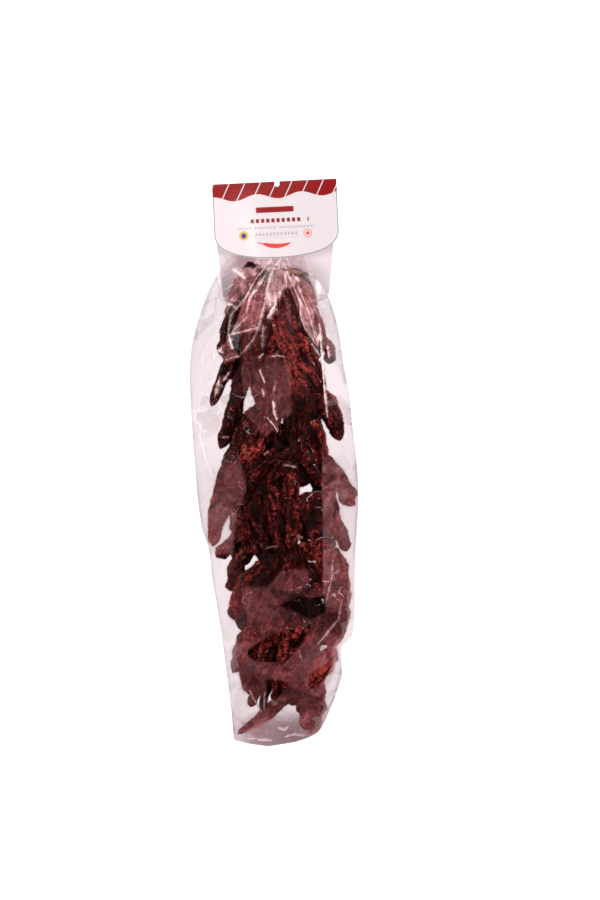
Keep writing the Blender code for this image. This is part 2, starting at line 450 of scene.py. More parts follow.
# Each pepper: places along its spine from root to tip (X, Y), its width, how full its tip is from 0, pointed,
# to 1, blunt, and the layer that it lies in, from 0 behind the rest to 5 on top.
PEPPERS = (
    # high on the string
    (((-15, 243), (-38, 219), (-52, 191)), 20, 0.5, 2),
    (((-43, 200), (-56, 165), (-61, 125)), 14, 0.6, 1),
    (((-38, 146), (-60, 107), (-77, 68)), 14, 0.6, 2),
    (((-34, 120), (-43, 86), (-52, 47), (-66, 16)), 17, 0.8, 1),
    (((-39, 78), (-54, 54), (-62, 31)), 12, 0.5, 1),
    (((-34, 161), (-22, 112), (-9, 63)), 20, 0.7, 3),
    (((-10, 222), (-17, 161), (-20, 98)), 24, 0.5, 2),
    (((4, 161), (0, 100), (1, 24)), 22, 0.5, 4),
    (((4, 200), (17, 143), (32, 94)), 22, 0.4, 4),
    (((12, 198), (32, 137), (59, 85)), 26, 0.5, 5),
    (((2, 227), (20, 210), (32, 176)), 26, 0.7, 4),
    (((20, 225), (37, 202), (43, 161)), 19, 0.6, 3),
    (((40, 185), (56, 165), (60, 137)), 11, 0.4, 1),
    (((46, 155), (67, 139), (68, 120)), 13, 0.8, 2),
    (((37, 88), (59, 72), (73, 52), (81, 26)), 20, 0.7, 2),
    (((50, 94), (43, 58), (33, 22)), 11, 0.3, 4),
    (((32, 119), (34, 76), (27, 37)), 27, 0.6, 1),
    (((15, 88), (21, 49), (24, 8)), 15, 0.4, 2),
    (((-22, 203), (-34, 167), (-33, 132)), 17, 0.5, 3),
    # half way down
    (((-10, 72), (-32, 37), (-52, 1)), 24, 0.4, 3),
    (((-4, 59), (-21, 27), (-40, -5)), 22, 0.4, 4),
    (((-37, 13), (-54, -24), (-68, -64), (-75, -103)), 23, 0.6, 2),
    (((-32, -5), (-46, -46), (-50, -87)), 14, 0.4, 1),
    (((-31, -74), (-51, -98), (-71, -116)), 15, 0.8, 2),
    (((-10, 11), (7, 6), (28, 20)), 17, 0.4, 4),
    (((23, 2), (0, -18), (-27, -45)), 15, 0.3, 5),
    (((-7, 3), (-24, -14), (-38, -44)), 20, 0.4, 3),
    (((-39, -22), (-39, -58), (-34, -110)), 13, 0.3, 3),
    (((-2, -17), (0, -58), (5, -105)), 15, 0.4, 3),
    (((21, -5), (20, -44), (25, -70), (19, -105)), 19, 0.5, 4),
    (((35, 52), (50, 27), (59, -2)), 24, 0.5, 3),
    (((34, 24), (45, -5), (59, -30)), 16, 0.4, 4),
    (((54, 13), (77, -21), (100, -52)), 18, 1.0, 2),
    (((61, -7), (68, -46), (76, -78)), 17, 0.5, 2),
    (((63, -58), (81, -87), (89, -109)), 17, 0.8, 2),
    (((38, -36), (45, -62), (46, -98)), 31, 0.6, 2),
    (((27, 26), (31, 0), (35, -30)), 26, 1.0, 1),
    (((-22, -40), (-22, -76), (-15, -113)), 26, 0.7, 1),
    (((18, -92), (29, -113), (40, -135)), 13, 0.4, 4),
    (((29, -102), (49, -107), (67, -98)), 17, 0.5, 3),
    (((56, -92), (63, -125), (59, -158)), 17, 0.5, 3),
    (((64, -101), (78, -129), (89, -158)), 18, 0.5, 2),
    (((-27, -101), (-44, -125), (-51, -147), (-60, -153)), 17, 0.7, 3),
    # low on the string
    (((0, -119), (-22, -131), (-39, -147), (-46, -168)), 13, 0.5, 4),
    (((-30, -144), (-44, -166), (-50, -193)), 17, 0.9, 2),
    (((2, -109), (0, -131), (11, -146)), 12, 0.4, 4),
    (((21, -109), (20, -134), (23, -158)), 15, 0.4, 3),
    (((41, -122), (55, -144), (68, -168)), 17, 0.4, 4),
    (((73, -137), (82, -160), (82, -196)), 18, 0.5, 2),
    (((-13, -150), (-23, -192), (-34, -231)), 20, 0.4, 3),
    (((10, -153), (29, -168), (48, -190)), 26, 0.5, 3),
    (((-28, -195), (-37, -235), (-31, -282)), 16, 0.4, 1),
    (((49, -166), (34, -205), (18, -244)), 26, 0.5, 3),
    (((2, -178), (-6, -214), (-15, -251)), 24, 0.5, 2),
    (((82, -170), (78, -202), (67, -227)), 18, 0.8, 2),
    (((73, -174), (62, -202), (51, -229)), 15, 0.4, 2),
    (((35, -192), (21, -223), (11, -251)), 24, 0.5, 4),
    (((74, -225), (58, -250), (39, -277)), 21, 0.5, 3),
    (((50, -251), (47, -290), (44, -334)), 26, 0.9, 2),
    (((22, -277), (-8, -306), (-45, -333)), 14, 0.3, 2),
    (((21, -253), (23, -275), (23, -297)), 15, 0.5, 1),
    (((-12, -239), (-21, -272), (-29, -300)), 14, 0.5, 1),
    (((-2, -241), (-10, -278), (-15, -306)), 13, 0.3, 2),
    (((12, -246), (7, -272), (2, -292)), 17, 0.5, 2),
    # behind the rest
    (((48, 10), (53, -15), (55, -42)), 18, 0.9, 0),
    (((58, -58), (62, -85), (66, -110)), 20, 0.8, 0),
    (((-4, -122), (-18, -140), (-30, -156)), 20, 0.8, 0),
    (((-26, -148), (-37, -175), (-39, -207)), 18, 0.8, 0),
    (((-30, -212), (-28, -250), (-28, -286)), 22, 0.8, 0),
    (((30, -236), (32, -266), (32, -296)), 17, 0.8, 0),
    (((52, -146), (58, -170), (54, -200)), 20, 0.8, 0),
    (((72, -126), (74, -155), (70, -186)), 19, 0.8, 0),
    (((-24, -88), (-20, -104), (-8, -118)), 16, 0.8, 0),
)
# Painted light and shade on the peppers: X, Y, how far it reaches and how much brighter or darker it makes
# them.
PAINTED_LIGHT_AND_SHADE = (
    (-84, -90, 34, 0.5), (86, -62, 30, 0.45), (80, -130, 26, 0.4), (-76, 60, 30, 0.3), (28, 160, 38, 0.6),
    (40, 112, 22, 0.6), (33, 78, 16, -0.3), (44, -62, 22, -0.25), (18, 14, 13, -0.25),
    (-18, -63, 14, -0.15), (44, -174, 14, -0.7), (66, -150, 14, 0.5), (-30, -167, 18, 0.3),
    (0, -218, 34, 0.5), (54, -250, 14, 0.5), (-5, -277, 10, -0.5), (-30, 20, 18, 0.3), (-48, 240, 25, 0.3),
    (-30, 50, 10, 0.2), (50, 20, 12, 0.3), (-8, 118, 16, -0.3),
)
THICKNESS_SHARE = 0.5  # a dried pepper's thickness as a share of its width
SINK = 0.45  # how far peppers press into each other, as a share of the half thickness
SETTLING_ROUNDS, BRIDGING = 60, (0.1, 0.2, 0.4, 0.2, 0.1)
CELL = 1.5  # the height map's cells
HIDDEN_SHARE, HIDDEN_WIDTH = 0.78, 0.62  # how much of the heap's height and width the peppers behind take
# How much darker the peppers behind are painted: painted shade where they lie deep in the heap.
HIDDEN_PAINTED_SHADE = 0.45
FILM_ROOM, LEAST_ROOM = 6, 9  # between the crown and the heap, and the least height left for the heap
EDGE_ROOM = 3  # between the side folds or the foot and the peppers
FILLER_ROWS, FILLER_LEANS = np.arange(238, -205, -19), (-36, -12, 12, 36)
FILLER_LENGTHS, FILLER_WIDTHS = (60, 85), (17, 24)
# Gaps that can be seen through: X, Y and radius.
OPEN_GAPS = (
    (36, -33, 8), (-22, -121, 4), (-21, -163, 3), (49, -121, 2), (23, 51, 3), (-33, 82, 8), (62, 66, 9),
)


class HeightMap:
    """The height of what lies at each place, on square cells."""

    def __init__(self, low, high, cell, ground):
        self.low, self.cell = np.array(low, float), cell
        self.x = np.arange(low[0], high[0] + cell, cell)
        self.y = np.arange(low[1], high[1] + cell, cell)
        self.top = ground(*np.meshgrid(self.x, self.y, indexing="ij"))

    def under(self, place, radius):
        """The cells within a radius of a place: their slice, and how far each is from it."""
        first = np.maximum(((place - radius - self.low) / self.cell).astype(int), 0)
        last = ((place + radius - self.low) / self.cell).astype(int) + 2
        patch = (slice(first[0], last[0]), slice(first[1], last[1]))
        away = np.hypot(self.x[patch[0]][:, None] - place[0], self.y[patch[1]][None, :] - place[1])
        return patch, away


def girth_along(along, fullness, dice):
    """A pepper's half width along it, as a share of its widest: round at the root, drawn out at the tip."""
    shoulder = np.clip(along / 0.2, 0.0004, 1) ** 0.5
    taper = 1 - (0.75 - 0.6 * fullness) * np.clip((along - 0.25) / 0.75, 0, 1) ** 1.4
    end = np.sqrt(np.clip((1.0 - along) / (0.04 + 0.1 * fullness), 0.0004, 1))
    lumps = 1 + 0.09 * np.sin(along * dice.uniform(7, 12) + dice.uniform(0, 6)) + 0.06 * np.sin(
        along * dice.uniform(16, 24) + dice.uniform(0, 6))
    return shoulder * taper * end * lumps


def settle(spine, half_width, heap):
    """Heights along a spine laid on the heap: it bridges gaps and presses in a little where it rests."""
    half_thick = half_width * THICKNESS_SHARE
    cross_sections = []
    for place, half, thick in zip(spine, half_width, half_thick):
        patch, away = heap.under(place, half)
        cross_sections.append((patch, away < half, thick * np.sqrt(np.clip(1 - (away / half) ** 2, 0, 1))))
    need = np.array([
        (heap.top[patch] + dome)[inside].max() if inside.any() else heap.top[patch].max()
        for patch, inside, dome in cross_sections
    ])
    height = need.copy()
    for _ in range(SETTLING_ROUNDS):
        spread = np.convolve(np.pad(height, 2, mode="edge"), BRIDGING, "valid")
        height = np.maximum(need - SINK * half_thick, spread - 0.05)
    for (patch, inside, dome), rest in zip(cross_sections, height):
        heap.top[patch] = np.maximum(heap.top[patch], np.where(inside, rest + dome, -1))
    return height


def trough(x, y):
    """The inside of the bag's back: flat under the heap, rising to the side folds."""
    return back_height(x, y) + 0.6


def headroom(y):
    """How far the heap may stand up from the back without pushing through the film."""
    return np.maximum(level_curve(CROWN, y) - FILM_ROOM, LEAST_ROOM)


def press(laid, heap, share_of_crown):
    """Presses what is laid so far down under a share of the bag's crown."""
    ground = trough(*np.meshgrid(heap.x, heap.y, indexing="ij"))
    share = np.minimum(1, headroom(heap.y) * share_of_crown / (heap.top - ground).max(axis=0))
    share = np.convolve(np.pad(share, 12, mode="edge"), np.full(25, 1 / 25), "valid")
    heap.top = ground + (heap.top - ground) * share
    for pepper in laid:
        x, y, z = pepper["spine"].T
        rest = trough(x, y)
        pepper["spine"][:, 2] = rest + (z - rest) * np.interp(y, heap.y, share)


def kept_inside(spine, half_width):
    """Moves a spine in from the side folds and the foot, so that the film can close round the pepper."""
    x, y = spine.T
    y = np.maximum(y, FOOT + EDGE_ROOM + half_width)
    left, right = level_curve(LEFT_FOLD, y), level_curve(RIGHT_FOLD, y)
    room = np.minimum(EDGE_ROOM + half_width, (right - left) / 2)
    return np.column_stack([np.clip(x, left + room, right - room), y])


def filler_peppers(dice):
    """The peppers behind those that show, kept clear of the gaps that can be seen through."""
    found = []
    for y in FILLER_ROWS:
        for lean in FILLER_LEANS:
            angle = math.radians(lean * 0.7 + dice.uniform(-10, 10))
            length = dice.uniform(*FILLER_LENGTHS)
            root = np.array([4 + lean * 0.55 + dice.uniform(-6, 6), y])
            aim = np.array([math.sin(angle), -math.cos(angle)])
            places = tuple(tuple(root + aim * length * share + (dice.uniform(-3, 3), 0))
                           for share in (0, 0.5, 1))
            width = dice.uniform(*FILLER_WIDTHS)
            spine = smooth_path(places, 12)
            if all(np.hypot(*(spine - gap[:2]).T).min() > gap[2] + width * 0.45 for gap in OPEN_GAPS):
                found.append((places, width, 0.5, 0))
    return found


def painted_light_and_shade_at(x, y):
    """How much painted light brightens or painted shade darkens the peppers at each place."""
    return sum(change * np.exp(-(((x - at_x) / reach) ** 2) - ((y - at_y) / reach) ** 2)
               for at_x, at_y, reach, change in PAINTED_LIGHT_AND_SHADE)


def core_of_heap(x, y):
    """The height of the tangle inside the heap, which fills what lies under the peppers that show."""
    swell = np.clip(1 - np.abs(across_bag(x, y) / HIDDEN_WIDTH) ** 2.2, 0, 1) * reached(y, -300, -250)
    return trough(x, y) + swell * HIDDEN_SHARE * headroom(y)


def lay_heap():
    """Lays every pepper from back to front: those behind, those that show, and the heap that they make."""
    dice = np.random.default_rng(20)
    low, high = np.array(CAD_BOX[0]) / MM, np.array(CAD_BOX[1]) / MM
    heap = HeightMap(low[:2], high[:2], CELL, trough)
    ordered = sorted(PEPPERS, key=lambda pepper: (pepper[3], pepper[0][0][1]))
    behind = filler_peppers(dice) + [pepper for pepper in ordered if not pepper[3]]
    shown = [pepper for pepper in ordered if pepper[3]]
    laid = []
    for number, (places, width, fullness, _) in enumerate(behind + shown):
        if number == len(behind):
            press(laid, heap, HIDDEN_SHARE)
            heap.top = np.maximum(heap.top, core_of_heap(*np.meshgrid(heap.x, heap.y, indexing="ij")))
        along = np.linspace(0, 1, SPINE_POINTS)
        half_width = width / 2 * girth_along(along, fullness, dice)
        spine = kept_inside(smooth_path(places, SPINE_POINTS), half_width)
        height = settle(spine, np.maximum(half_width, 2.0), heap)
        length = np.hypot(*np.diff(spine, axis=0).T).sum()
        # Each pepper's colour level: random, plus painted light and shade, and lower for the peppers behind
        # as painted shade.
        tone_with_painted_shading = dice.uniform(0.75, 1.2) + painted_light_and_shade_at(*spine.T) - (HIDDEN_PAINTED_SHADE if number < len(behind) else 0)
        laid.append(dict(spine=np.column_stack([spine, height]), girth=half_width * MM, along=along,
                         run=along * length / 10, seed=dice.random(), roll=dice.uniform(-0.5, 0.5),
                         tone_with_painted_shading=tone_with_painted_shading))
    press(laid, heap, 1)
    return laid[:len(behind)], laid[len(behind):], heap


def pepper_tree():
    """Grows a wrinkled, half collapsed pepper round each spine."""
    sizes = {"Thickness": THICKNESS_SHARE, "Fold depth": 0.42, "Wrinkle depth": 0.17, "Crease depth": 0.19,
             "Crinkle depth": 0.13, "Twist": 0.5, "Lowest place": 0.0012}
    tree, given = geometry_tree("dried pepper", sizes, {"Rings": 110, "Points around": 56})
    skin, here, spine, around, girth = swept(tree, given)
    along, run, seed = attribute_of(tree, "along"), attribute_of(tree, "run"), attribute_of(tree, "seed")
    turn = around + attribute_of(tree, "roll") + along * (seed * 5.0).math("SINE") * 1.2
    shift = seed * 61.0
    side, up = turn.math("COSINE"), turn.math("SINE")

    def wrinkled(turns, per_length, offset, distortion):
        spot = joined(tree, side * turns, up * turns, run * per_length + shift + offset)
        return ridged(noise(tree, spot, 1.0, 1.0, 0.5, distortion), 3.6)

    folds = wrinkled(1.5, 0.24, 0.0, 0.35)
    wrinkles = wrinkled(2.7, 0.8, 7.0, 0.5)
    creases = wrinkled(0.8, 2.6, 13.0, 0.6)
    crinkles = ridged(noise(tree, here, 290.0, 1.0, 0.5, 0.4), 3.6)
    lobes = (turn * 2.0 + along * 4.0 + shift).math("SINE") * 0.12 + (
        turn * 3.0 - along * 6.0 + shift * 1.7).math("SINE") * 0.10
    relief = (folds - 0.55) * given["Fold depth"] + (wrinkles - 0.55) * given["Wrinkle depth"]
    relief = relief + (creases - 0.5) * given["Crease depth"] + (crinkles - 0.5) * given["Crinkle depth"]
    skin = stored(tree, skin, "crest", folds * 0.36 + wrinkles * 0.28 + creases * 0.2 + crinkles * 0.16)

    flat = given["Thickness"] + ((shift + along * 9.0).math("SINE") + 1.0) * given["Twist"] * 0.12
    out = vector_node(tree, "SUBTRACT", here, spine)
    out = vector_node(tree, "MULTIPLY", out, joined(tree, 1.0, 1.0, flat))
    raised = scaled(tree, vector_node(tree, "NORMALIZE", out), relief * girth)
    place = vector_node(tree, "ADD", vector_node(tree, "ADD", spine, scaled(tree, out, lobes + 1.0)), raised)
    place = vector_node(tree, "MAXIMUM", place, joined(tree, -9.0, -9.0, given["Lowest place"]))
    return close_tree(tree, skin, place, given["Finish"])


# The skin's colour from its hollows to its crests: near black painted shade in the hollows, and a painted
# highlight on the highest crests.
SKIN_COLOURS_WITH_PAINTED_SHADING = ((0.05, (0.002, 0.0002, 0.0002, 1)), (0.4, (0.010, 0.0005, 0.0004, 1)),
                (0.7, (0.068, 0.0042, 0.0038, 1)), (1.0, (0.42, 0.058, 0.042, 1)))


def pepper_skin():
    """Leathery skin: near black painted shade in its hollows, red along its crests, a greasy shine on fine
    creping.
    """
    material, tree, surface = new_finish("dried_pepper_skin")
    crest, tone_with_painted_shading = painted(tree, "crest", "tone_with_painted_shading")
    place = read(tree, "ShaderNodeTexCoord", "Object")
    mottle = noise(tree, place, 60.0, 2.0, 0.6)
    creping = crests(tree, place, 330.0, 2.0, 0.65, 0.5, 5.0)
    # Painted shading: darker in the hollows and creping valleys, brighter on the crests as a painted
    # highlight, plus random mottle.
    light = (crest - 0.7) * 2.2 + (mottle - 0.5) * 0.3 + (creping - 0.5) * 0.45 + (tone_with_painted_shading - 1.0) * 0.6 + 0.3
    ramp = add_node(tree, "ShaderNodeValToRGB", {0: light.clamp()})
    stops = ramp.color_ramp.elements
    hollow, *between, crown = SKIN_COLOURS_WITH_PAINTED_SHADING
    for stop, (position, colour) in zip(stops, (hollow, crown)):
        stop.position, stop.color = position, colour
    for position, colour in between:
        stops.new(position).color = colour
    bump = bumped(tree, creping, 1.0, 0.0007)
    fill(surface, {
        "Base Color": Field(tree, ramp.outputs[0]), "Roughness": creping.ramp(0.0, 1.0, 0.28, 0.15),
        "Specular IOR Level": 0.05, "Specular Tint": (1.0, 0.35, 0.33, 1), "Normal": bump,
        "Coat Weight": 0.15, "Coat Roughness": 0.07, "Coat Tint": (1.0, 0.75, 0.73, 1), "Coat Normal": bump,
    })
    return material


LAYERS, LAYER_SIZE = ("first", "second", "third", "top"), 16


def make_peppers():
    """The peppers behind and four layers of those that show, one piece each, and the heap they make."""
    behind, shown, heap = lay_heap()
    tree, skin = pepper_tree(), pepper_skin()
    made = [grown("peppers_behind", behind, tree, skin, **{"Rings": 40, "Points around": 24})]
    for number, layer in enumerate(LAYERS):
        batch = shown[number * LAYER_SIZE:(number + 1) * LAYER_SIZE]
        made.append(grown(f"peppers_{layer}_layer", batch, tree, skin))
    return made, heap


# ---------------------------------------------------------------- stalks

# Each stalk from the pepper to its cut end: places (X, Y) and how thick it is.
STALKS = (
    (((15, 231.5), (25, 231), (35, 228.5)), 4.4), (((-1, 239), (6, 236), (12, 232)), 3.6),
    (((-6, 13), (-9, 11.5), (-12, 9)), 2.6), (((28, -88), (31, -90), (35, -91)), 3.0),
)
STALK_COLOURS = (0.035, 0.009, 0.004, 1), (0.33, 0.13, 0.045, 1)


def stalk_tree():
    """Sweeps a ribbed stalk along each spine."""
    tree, given = geometry_tree("dried stalk", {"Ribs": 5.0, "Rib depth": 0.2, "Knottiness": 0.35},
                                {"Rings": 44, "Points around": 28})
    skin, here, spine, around, _ = swept(tree, given)
    seed = attribute_of(tree, "seed")
    ribs = (around * given["Ribs"] + attribute_of(tree, "along") * 2.0).math("SINE")
    knots = noise(tree, here, 420.0, 2.0, 0.6) - 0.5
    raised = ribs * given["Rib depth"] + knots * given["Knottiness"]
    raised = raised + (around + seed * 6.0).math("SINE") * 0.1
    skin = stored(tree, skin, "crest", ribs * 0.5 + 0.5)
    out = vector_node(tree, "SUBTRACT", here, spine)
    place = vector_node(tree, "ADD", spine, scaled(tree, out, raised + 1.0))
    return close_tree(tree, skin, place, given["Finish"])


def stalk_finish():
    """Dry straw-brown stalk: pale ribs, dark grooves of painted shade and a darker cut end."""
    material, tree, surface = new_finish("dry_stalk")
    crest, along = painted(tree, "crest", "along")
    fibre, _ = fibrous(tree, 700.0, 3.0, 0.65, 0.4)
    # The grooves between the ribs are darker as painted shade.
    light = (crest * 0.5 + fibre * 0.7 - along.ramp(0.86, 0.97) * 0.6).clamp()
    fill(surface, {"Base Color": mixed(tree, light, *STALK_COLOURS), "Roughness": 0.55,
                   "Normal": bumped(tree, fibre, 0.6, 0.0003)})
    return material


def make_stalks(peppers, heap):
    """The stalks that are still on some peppers, each laid on top of them."""
    dice = np.random.default_rng(5)
    top, laid = relief_map(peppers, heap), []
    along = np.linspace(0, 1, SPINE_POINTS)
    for places, thick in STALKS:
        spine = smooth_path(places, SPINE_POINTS)
        girth = thick / 2 * (1 + 0.9 * np.exp(-along * 9) + 0.25 * reached(along, 0.85, 0.95))
        girth = girth * np.sqrt(np.clip(np.minimum(along * 14, (1 - along) * 40), 0.01, 1))
        height = np.array([top[heap.under(place, thick)[0]].max() for place in spine])
        height = np.convolve(np.pad(height, 4, mode="edge"), np.full(9, 1 / 9), "valid") + thick * 0.3
        laid.append(dict(spine=np.column_stack([spine, height]), girth=girth * MM, along=along, run=along,
                         seed=dice.random(), roll=0.0, tone_with_painted_shading=1.0))
    return grown("stalks", laid, stalk_tree(), stalk_finish())


# ---------------------------------------------------------------- film

FILM_GAP = 0.7  # between the film and the peppers
FRONT_COLUMNS, BACK_COLUMNS = 193, 25
FOOT_ROWS = (0, 0.25, 0.7, 1.4, 2.4, 3.8, 5.4)  # up from the foot, where the film closes
FIRST_ROW, LAST_ROW, ROW_STEP, BAG_TOP = -340.6, 336.5, 1.65, 337
NECK = (2.0, 262.0)  # where the film is drawn together
NECK_FOOT, NECK_FULL = 238, 250  # where the film rises to the card, and where it reaches it
FLAP_FOOT, FLAP_ROOM, FLAP_SLOPE = 240, 1.2, 1.5  # the card's front flap over the film
DRAWING_ROUNDS = 900
BACK_SHADES = (0.02, 0, 0)  # how cloudy, white and tinged the back film is

# Creases in the front film: half width, height, whiteness from 0 to 1, which is partly a painted highlight,
# and places along the crease (X, Y).
CREASES = (
    # fanning down to the left from the neck
    (1.3, 1.6, 0.8, ((-7, 242), (-23, 221), (-34, 200), (-41, 193))),
    (1.3, 1.6, 0.7, ((-5, 235), (-23, 211), (-30, 198), (-33, 178))),
    (1.4, 1.4, 0.8, ((-10, 226), (-23, 207), (-29, 197))),
    (1.6, 1.8, 0.7, ((-34, 197), (-44, 188), (-52, 178), (-55, 156))),
    (2.8, 2.4, 0.95, ((-55, 156), (-53, 147), (-50, 137))),
    (2.2, 2.4, 0.6, ((-5, 219), (-10, 198), (-15, 176), (-19, 161), (-26, 147), (-35, 135), (-42, 128))),
    (1.3, 1.2, 0.5, ((-42, 128), (-50, 127), (-59, 124))),
    (1.2, 1.2, 0.6, ((-19, 163), (-40, 157), (-53, 155))),
    (1.1, 1.2, 0.5, ((-32, 176), (-53, 155))),
    (4.2, 2.0, 0.9, ((-50, 235), (-42, 229), (-35, 223))),
    (1.1, 1.0, 0.5, ((-59, 210), (-47, 217), (-37, 224))),
    (1.1, 1.0, 0.4, ((-77, 202), (-55, 198), (-40, 194))),
    (2.4, 1.6, 0.8, ((-56, 192), (-50, 190), (-46, 186))),
    (2.6, 1.6, 0.7, ((-30, 216), (-27, 210))),
    # straight down from the neck and to the right
    (3.0, 2.6, 0.85, ((10, 250), (0, 237), (-5, 225), (-8, 210), (-9, 192))),
    (2.6, 2.6, 0.85, ((12, 243), (16, 231), (20, 220), (24, 213))),
    (1.5, 2.0, 0.7, ((24, 213), (29, 199), (32, 192), (32, 176), (38, 161), (51, 142))),
    (1.2, 1.4, 0.6, ((28, 217), (42, 181), (52, 144))),
    (1.1, 1.0, 0.6, ((45, 239), (48, 227), (53, 210))),
    (1.1, 1.0, 0.4, ((41, 247), (62, 208))),
    (3.6, 1.4, 0.8, ((22, 227), (31, 219))),
    (2.6, 1.8, 0.9, ((52, 190), (54, 187))),
    (2.0, 2.2, 1.0, ((55, 169), (57, 140), (59, 115), (62, 76), (65, 54))),
    (1.2, 1.6, 0.8, ((45, 144), (51, 135), (56, 128))),
    (2.0, 1.6, 0.8, ((55, 156), (53, 149), (52, 140))),
    (2.2, 1.6, 0.9, ((64, 142), (67, 126))),
    # over the peppers
    (3.4, 2.2, 1.0, ((3, 193), (-3, 182), (-8, 173))),
    (3.0, 1.4, 0.5, ((-13, 166), (-14, 139))),
    (2.2, 1.4, 0.9, ((-2, 166), (1, 165))),
    (1.6, 1.4, 0.8, ((-18, 125), (-12, 132))),
    (1.3, 1.4, 0.8, ((-18, 113), (-11, 96))),
    (1.2, 1.2, 0.7, ((-14, 89), (-12, 80))),
    (1.0, 1.0, 0.6, ((-3, 128), (5, 129), (13, 127))),
    (1.8, 1.4, 0.5, ((2, 99), (-1, 82))),
    (2.0, 1.8, 1.0, ((-1, 74), (0, 61), (4, 51))),
    (1.2, 1.6, 0.9, ((-9, 55), (-1, 46), (5, 37))),
    (3.0, 1.6, 0.95, ((-66, 103), (-70, 90), (-72, 80))),
    (2.2, 1.6, 0.9, ((-54, 110), (-62, 99))),
    (4.0, 1.2, 0.85, ((-68, 137), (-62, 133))),
    (1.1, 0.8, 0.6, ((11, -3), (19, -4), (27, -6))),
    (1.0, 0.8, 0.4, ((-10, -104), (-2, -102), (6, -102))),
    (1.2, 1.0, 0.6, ((-63, 30), (-55, 31))),
    # low on the bag
    (1.4, 1.4, 0.5, ((71, -119), (70, -140), (62, -172))),
    (1.8, 1.6, 0.5, ((82, -168), (78, -190), (53, -220))),
    (1.4, 1.6, 0.6, ((-30, -277), (-24, -290), (-15, -305))),
    (1.4, 1.6, 0.6, ((-11, -279), (-12, -301))),
    (1.2, 1.2, 0.4, ((30, -228), (34, -240))),
    (1.4, 1.4, 0.7, ((5, -324), (13, -328), (18, -322))),
    (1.4, 1.4, 0.6, ((-35, -338), (-18, -340), (-2, -341))),
    (1.4, 1.4, 0.6, ((14, -336), (26, -333), (38, -334))),
)

# Cloudy patches of the front film: cloudiness, whiteness, which is partly a painted highlight, how soft the
# edge is, how far down from its top it fades in, and corners (X, Y).
CLOUDED = (
    (0.55, 0.80, 5, 1, ((-44, 262), (-24, 240), (-8, 232), (-9, 190), (0, 186), (14, 210), (26, 214),
                        (46, 262))),
    (0.40, 0.30, 6, 1, ((-48, 262), (-24, 236), (-16, 228), (-34, 205), (-56, 186), (-72, 205))),
    (0.60, 0.60, 3, 4, ((42, 256), (58, 232), (67, 203), (79, 172), (72, 150), (60, 168), (52, 200))),
    (0.50, 0.05, 1.5, 1, ((-34, 204), (-25, 220), (-9, 213), (-8, 186), (-20, 158), (-52, 153), (-41, 182))),
    (0.42, 0.25, 3, 1, ((27, 216), (36, 222), (46, 214), (54, 186), (60, 152), (52, 140), (33, 172))),
    (0.30, 0.15, 1.5, 1, ((-54, 152), (-42, 127), (-60, 120), (-68, 134))),
    (0.16, 0.05, 2, 24, ((-40, 128), (20, 135), (22, 60), (-10, 30), (-36, 60))),
    (0.2, 0.14, 4, 30, ((-44, 20), (-34, -30), (-46, -70), (-50, -112), (-90, -112), (-100, 20))),
    (0.27, 0.14, 1.5, 45, ((58, 34), (59, -60), (60, -175), (104, -175), (104, 34))),
    (0.22, 0.00, 2, 8, ((8, -132), (40, -126), (44, -150), (18, -158), (-6, -150))),
    (0.22, 0.05, 2, 8, ((-42, -152), (-14, -146), (4, -164), (8, -186), (-30, -200))),
)

# Where the film clings to the peppers low on the bag, it is clear inside these corners (X, Y).
CLEAR_WINDOWS = (
    ((16, 238), (39, 235), (39, 224), (18, 224)),
    ((8, -174), (26, -160), (44, -164), (63, -161), (63, -180), (46, -190), (32, -185), (21, -177)),
    ((-32, -227), (-15, -216), (2, -206), (21, -202), (44, -194), (45, -205), (32, -222), (21, -234),
     (10, -246), (4, -242), (-21, -242), (-31, -236)),
    ((-10, -264), (4, -262), (18, -267), (10, -281), (2, -288), (-8, -289)),
    ((41, -275), (44, -256), (66, -242), (73, -234), (72, -242), (63, -261), (52, -272)),
    ((37, -317), (59, -315), (60, -324), (49, -331), (39, -329)),
)


def relief_map(pieces, heap):
    """The highest point of the peppers on each cell."""
    found = np.full(heap.top.shape, -1e3)
    last = np.array(found.shape) - 1
    for piece in pieces:
        places = np.empty(len(piece.data.vertices) * 3, np.float32)
        piece.data.vertices.foreach_get("co", places)
        places = places.reshape(-1, 3).astype(float) / MM
        cells = np.clip(np.round((places[:, :2] - heap.low) / heap.cell).astype(int), 0, last)
        np.maximum.at(found, tuple(cells.T), places[:, 2])
    return found


def spread_of(field):
    """The mean of each cell's four neighbours."""
    padded = np.pad(field, 1, mode="edge")
    return (padded[:-2, 1:-1] + padded[2:, 1:-1] + padded[1:-1, :-2] + padded[1:-1, 2:]) / 4


def drawn_over(top, heap):
    """The front film's height, drawn over the peppers from fold to fold, and the most the card leaves it."""
    x, y = np.meshgrid(heap.x, heap.y, indexing="ij")
    edge = level_curve(FOLD_HEIGHT, y)
    across = np.abs(across_bag(x, y))
    outside = across >= 1
    flap = front_height(*to_card(x, y)) - CARD_THICKNESS / 2 - FLAP_ROOM
    flap = flap + np.clip(FLAP_FOOT - y, 0, None) * FLAP_SLOPE
    low = np.minimum(np.where(outside, edge, np.maximum(top + FILM_GAP, back_height(x, y) + 0.5)), flap)
    neck = 1 + (flap - 1) * np.sqrt(np.clip(1 - across**2.4, 0, 1))
    low = np.where((y > NECK_FOOT) & ~outside, np.maximum(low, neck * reached(y, NECK_FOOT, NECK_FULL)), low)
    film = low.copy()
    for _ in range(DRAWING_ROUNDS):
        film = np.where(outside, edge, np.minimum(np.maximum(low, spread_of(film)), flap))
    return film, flap


def heap_cover(peppers, heap):
    """1 over the peppers and 0 beside them, softened at their edges."""
    ground = trough(*np.meshgrid(heap.x, heap.y, indexing="ij"))
    cover = (relief_map(peppers, heap) > ground + 2).astype(float)
    for _ in range(2):
        cover = spread_of(cover)
    return cover


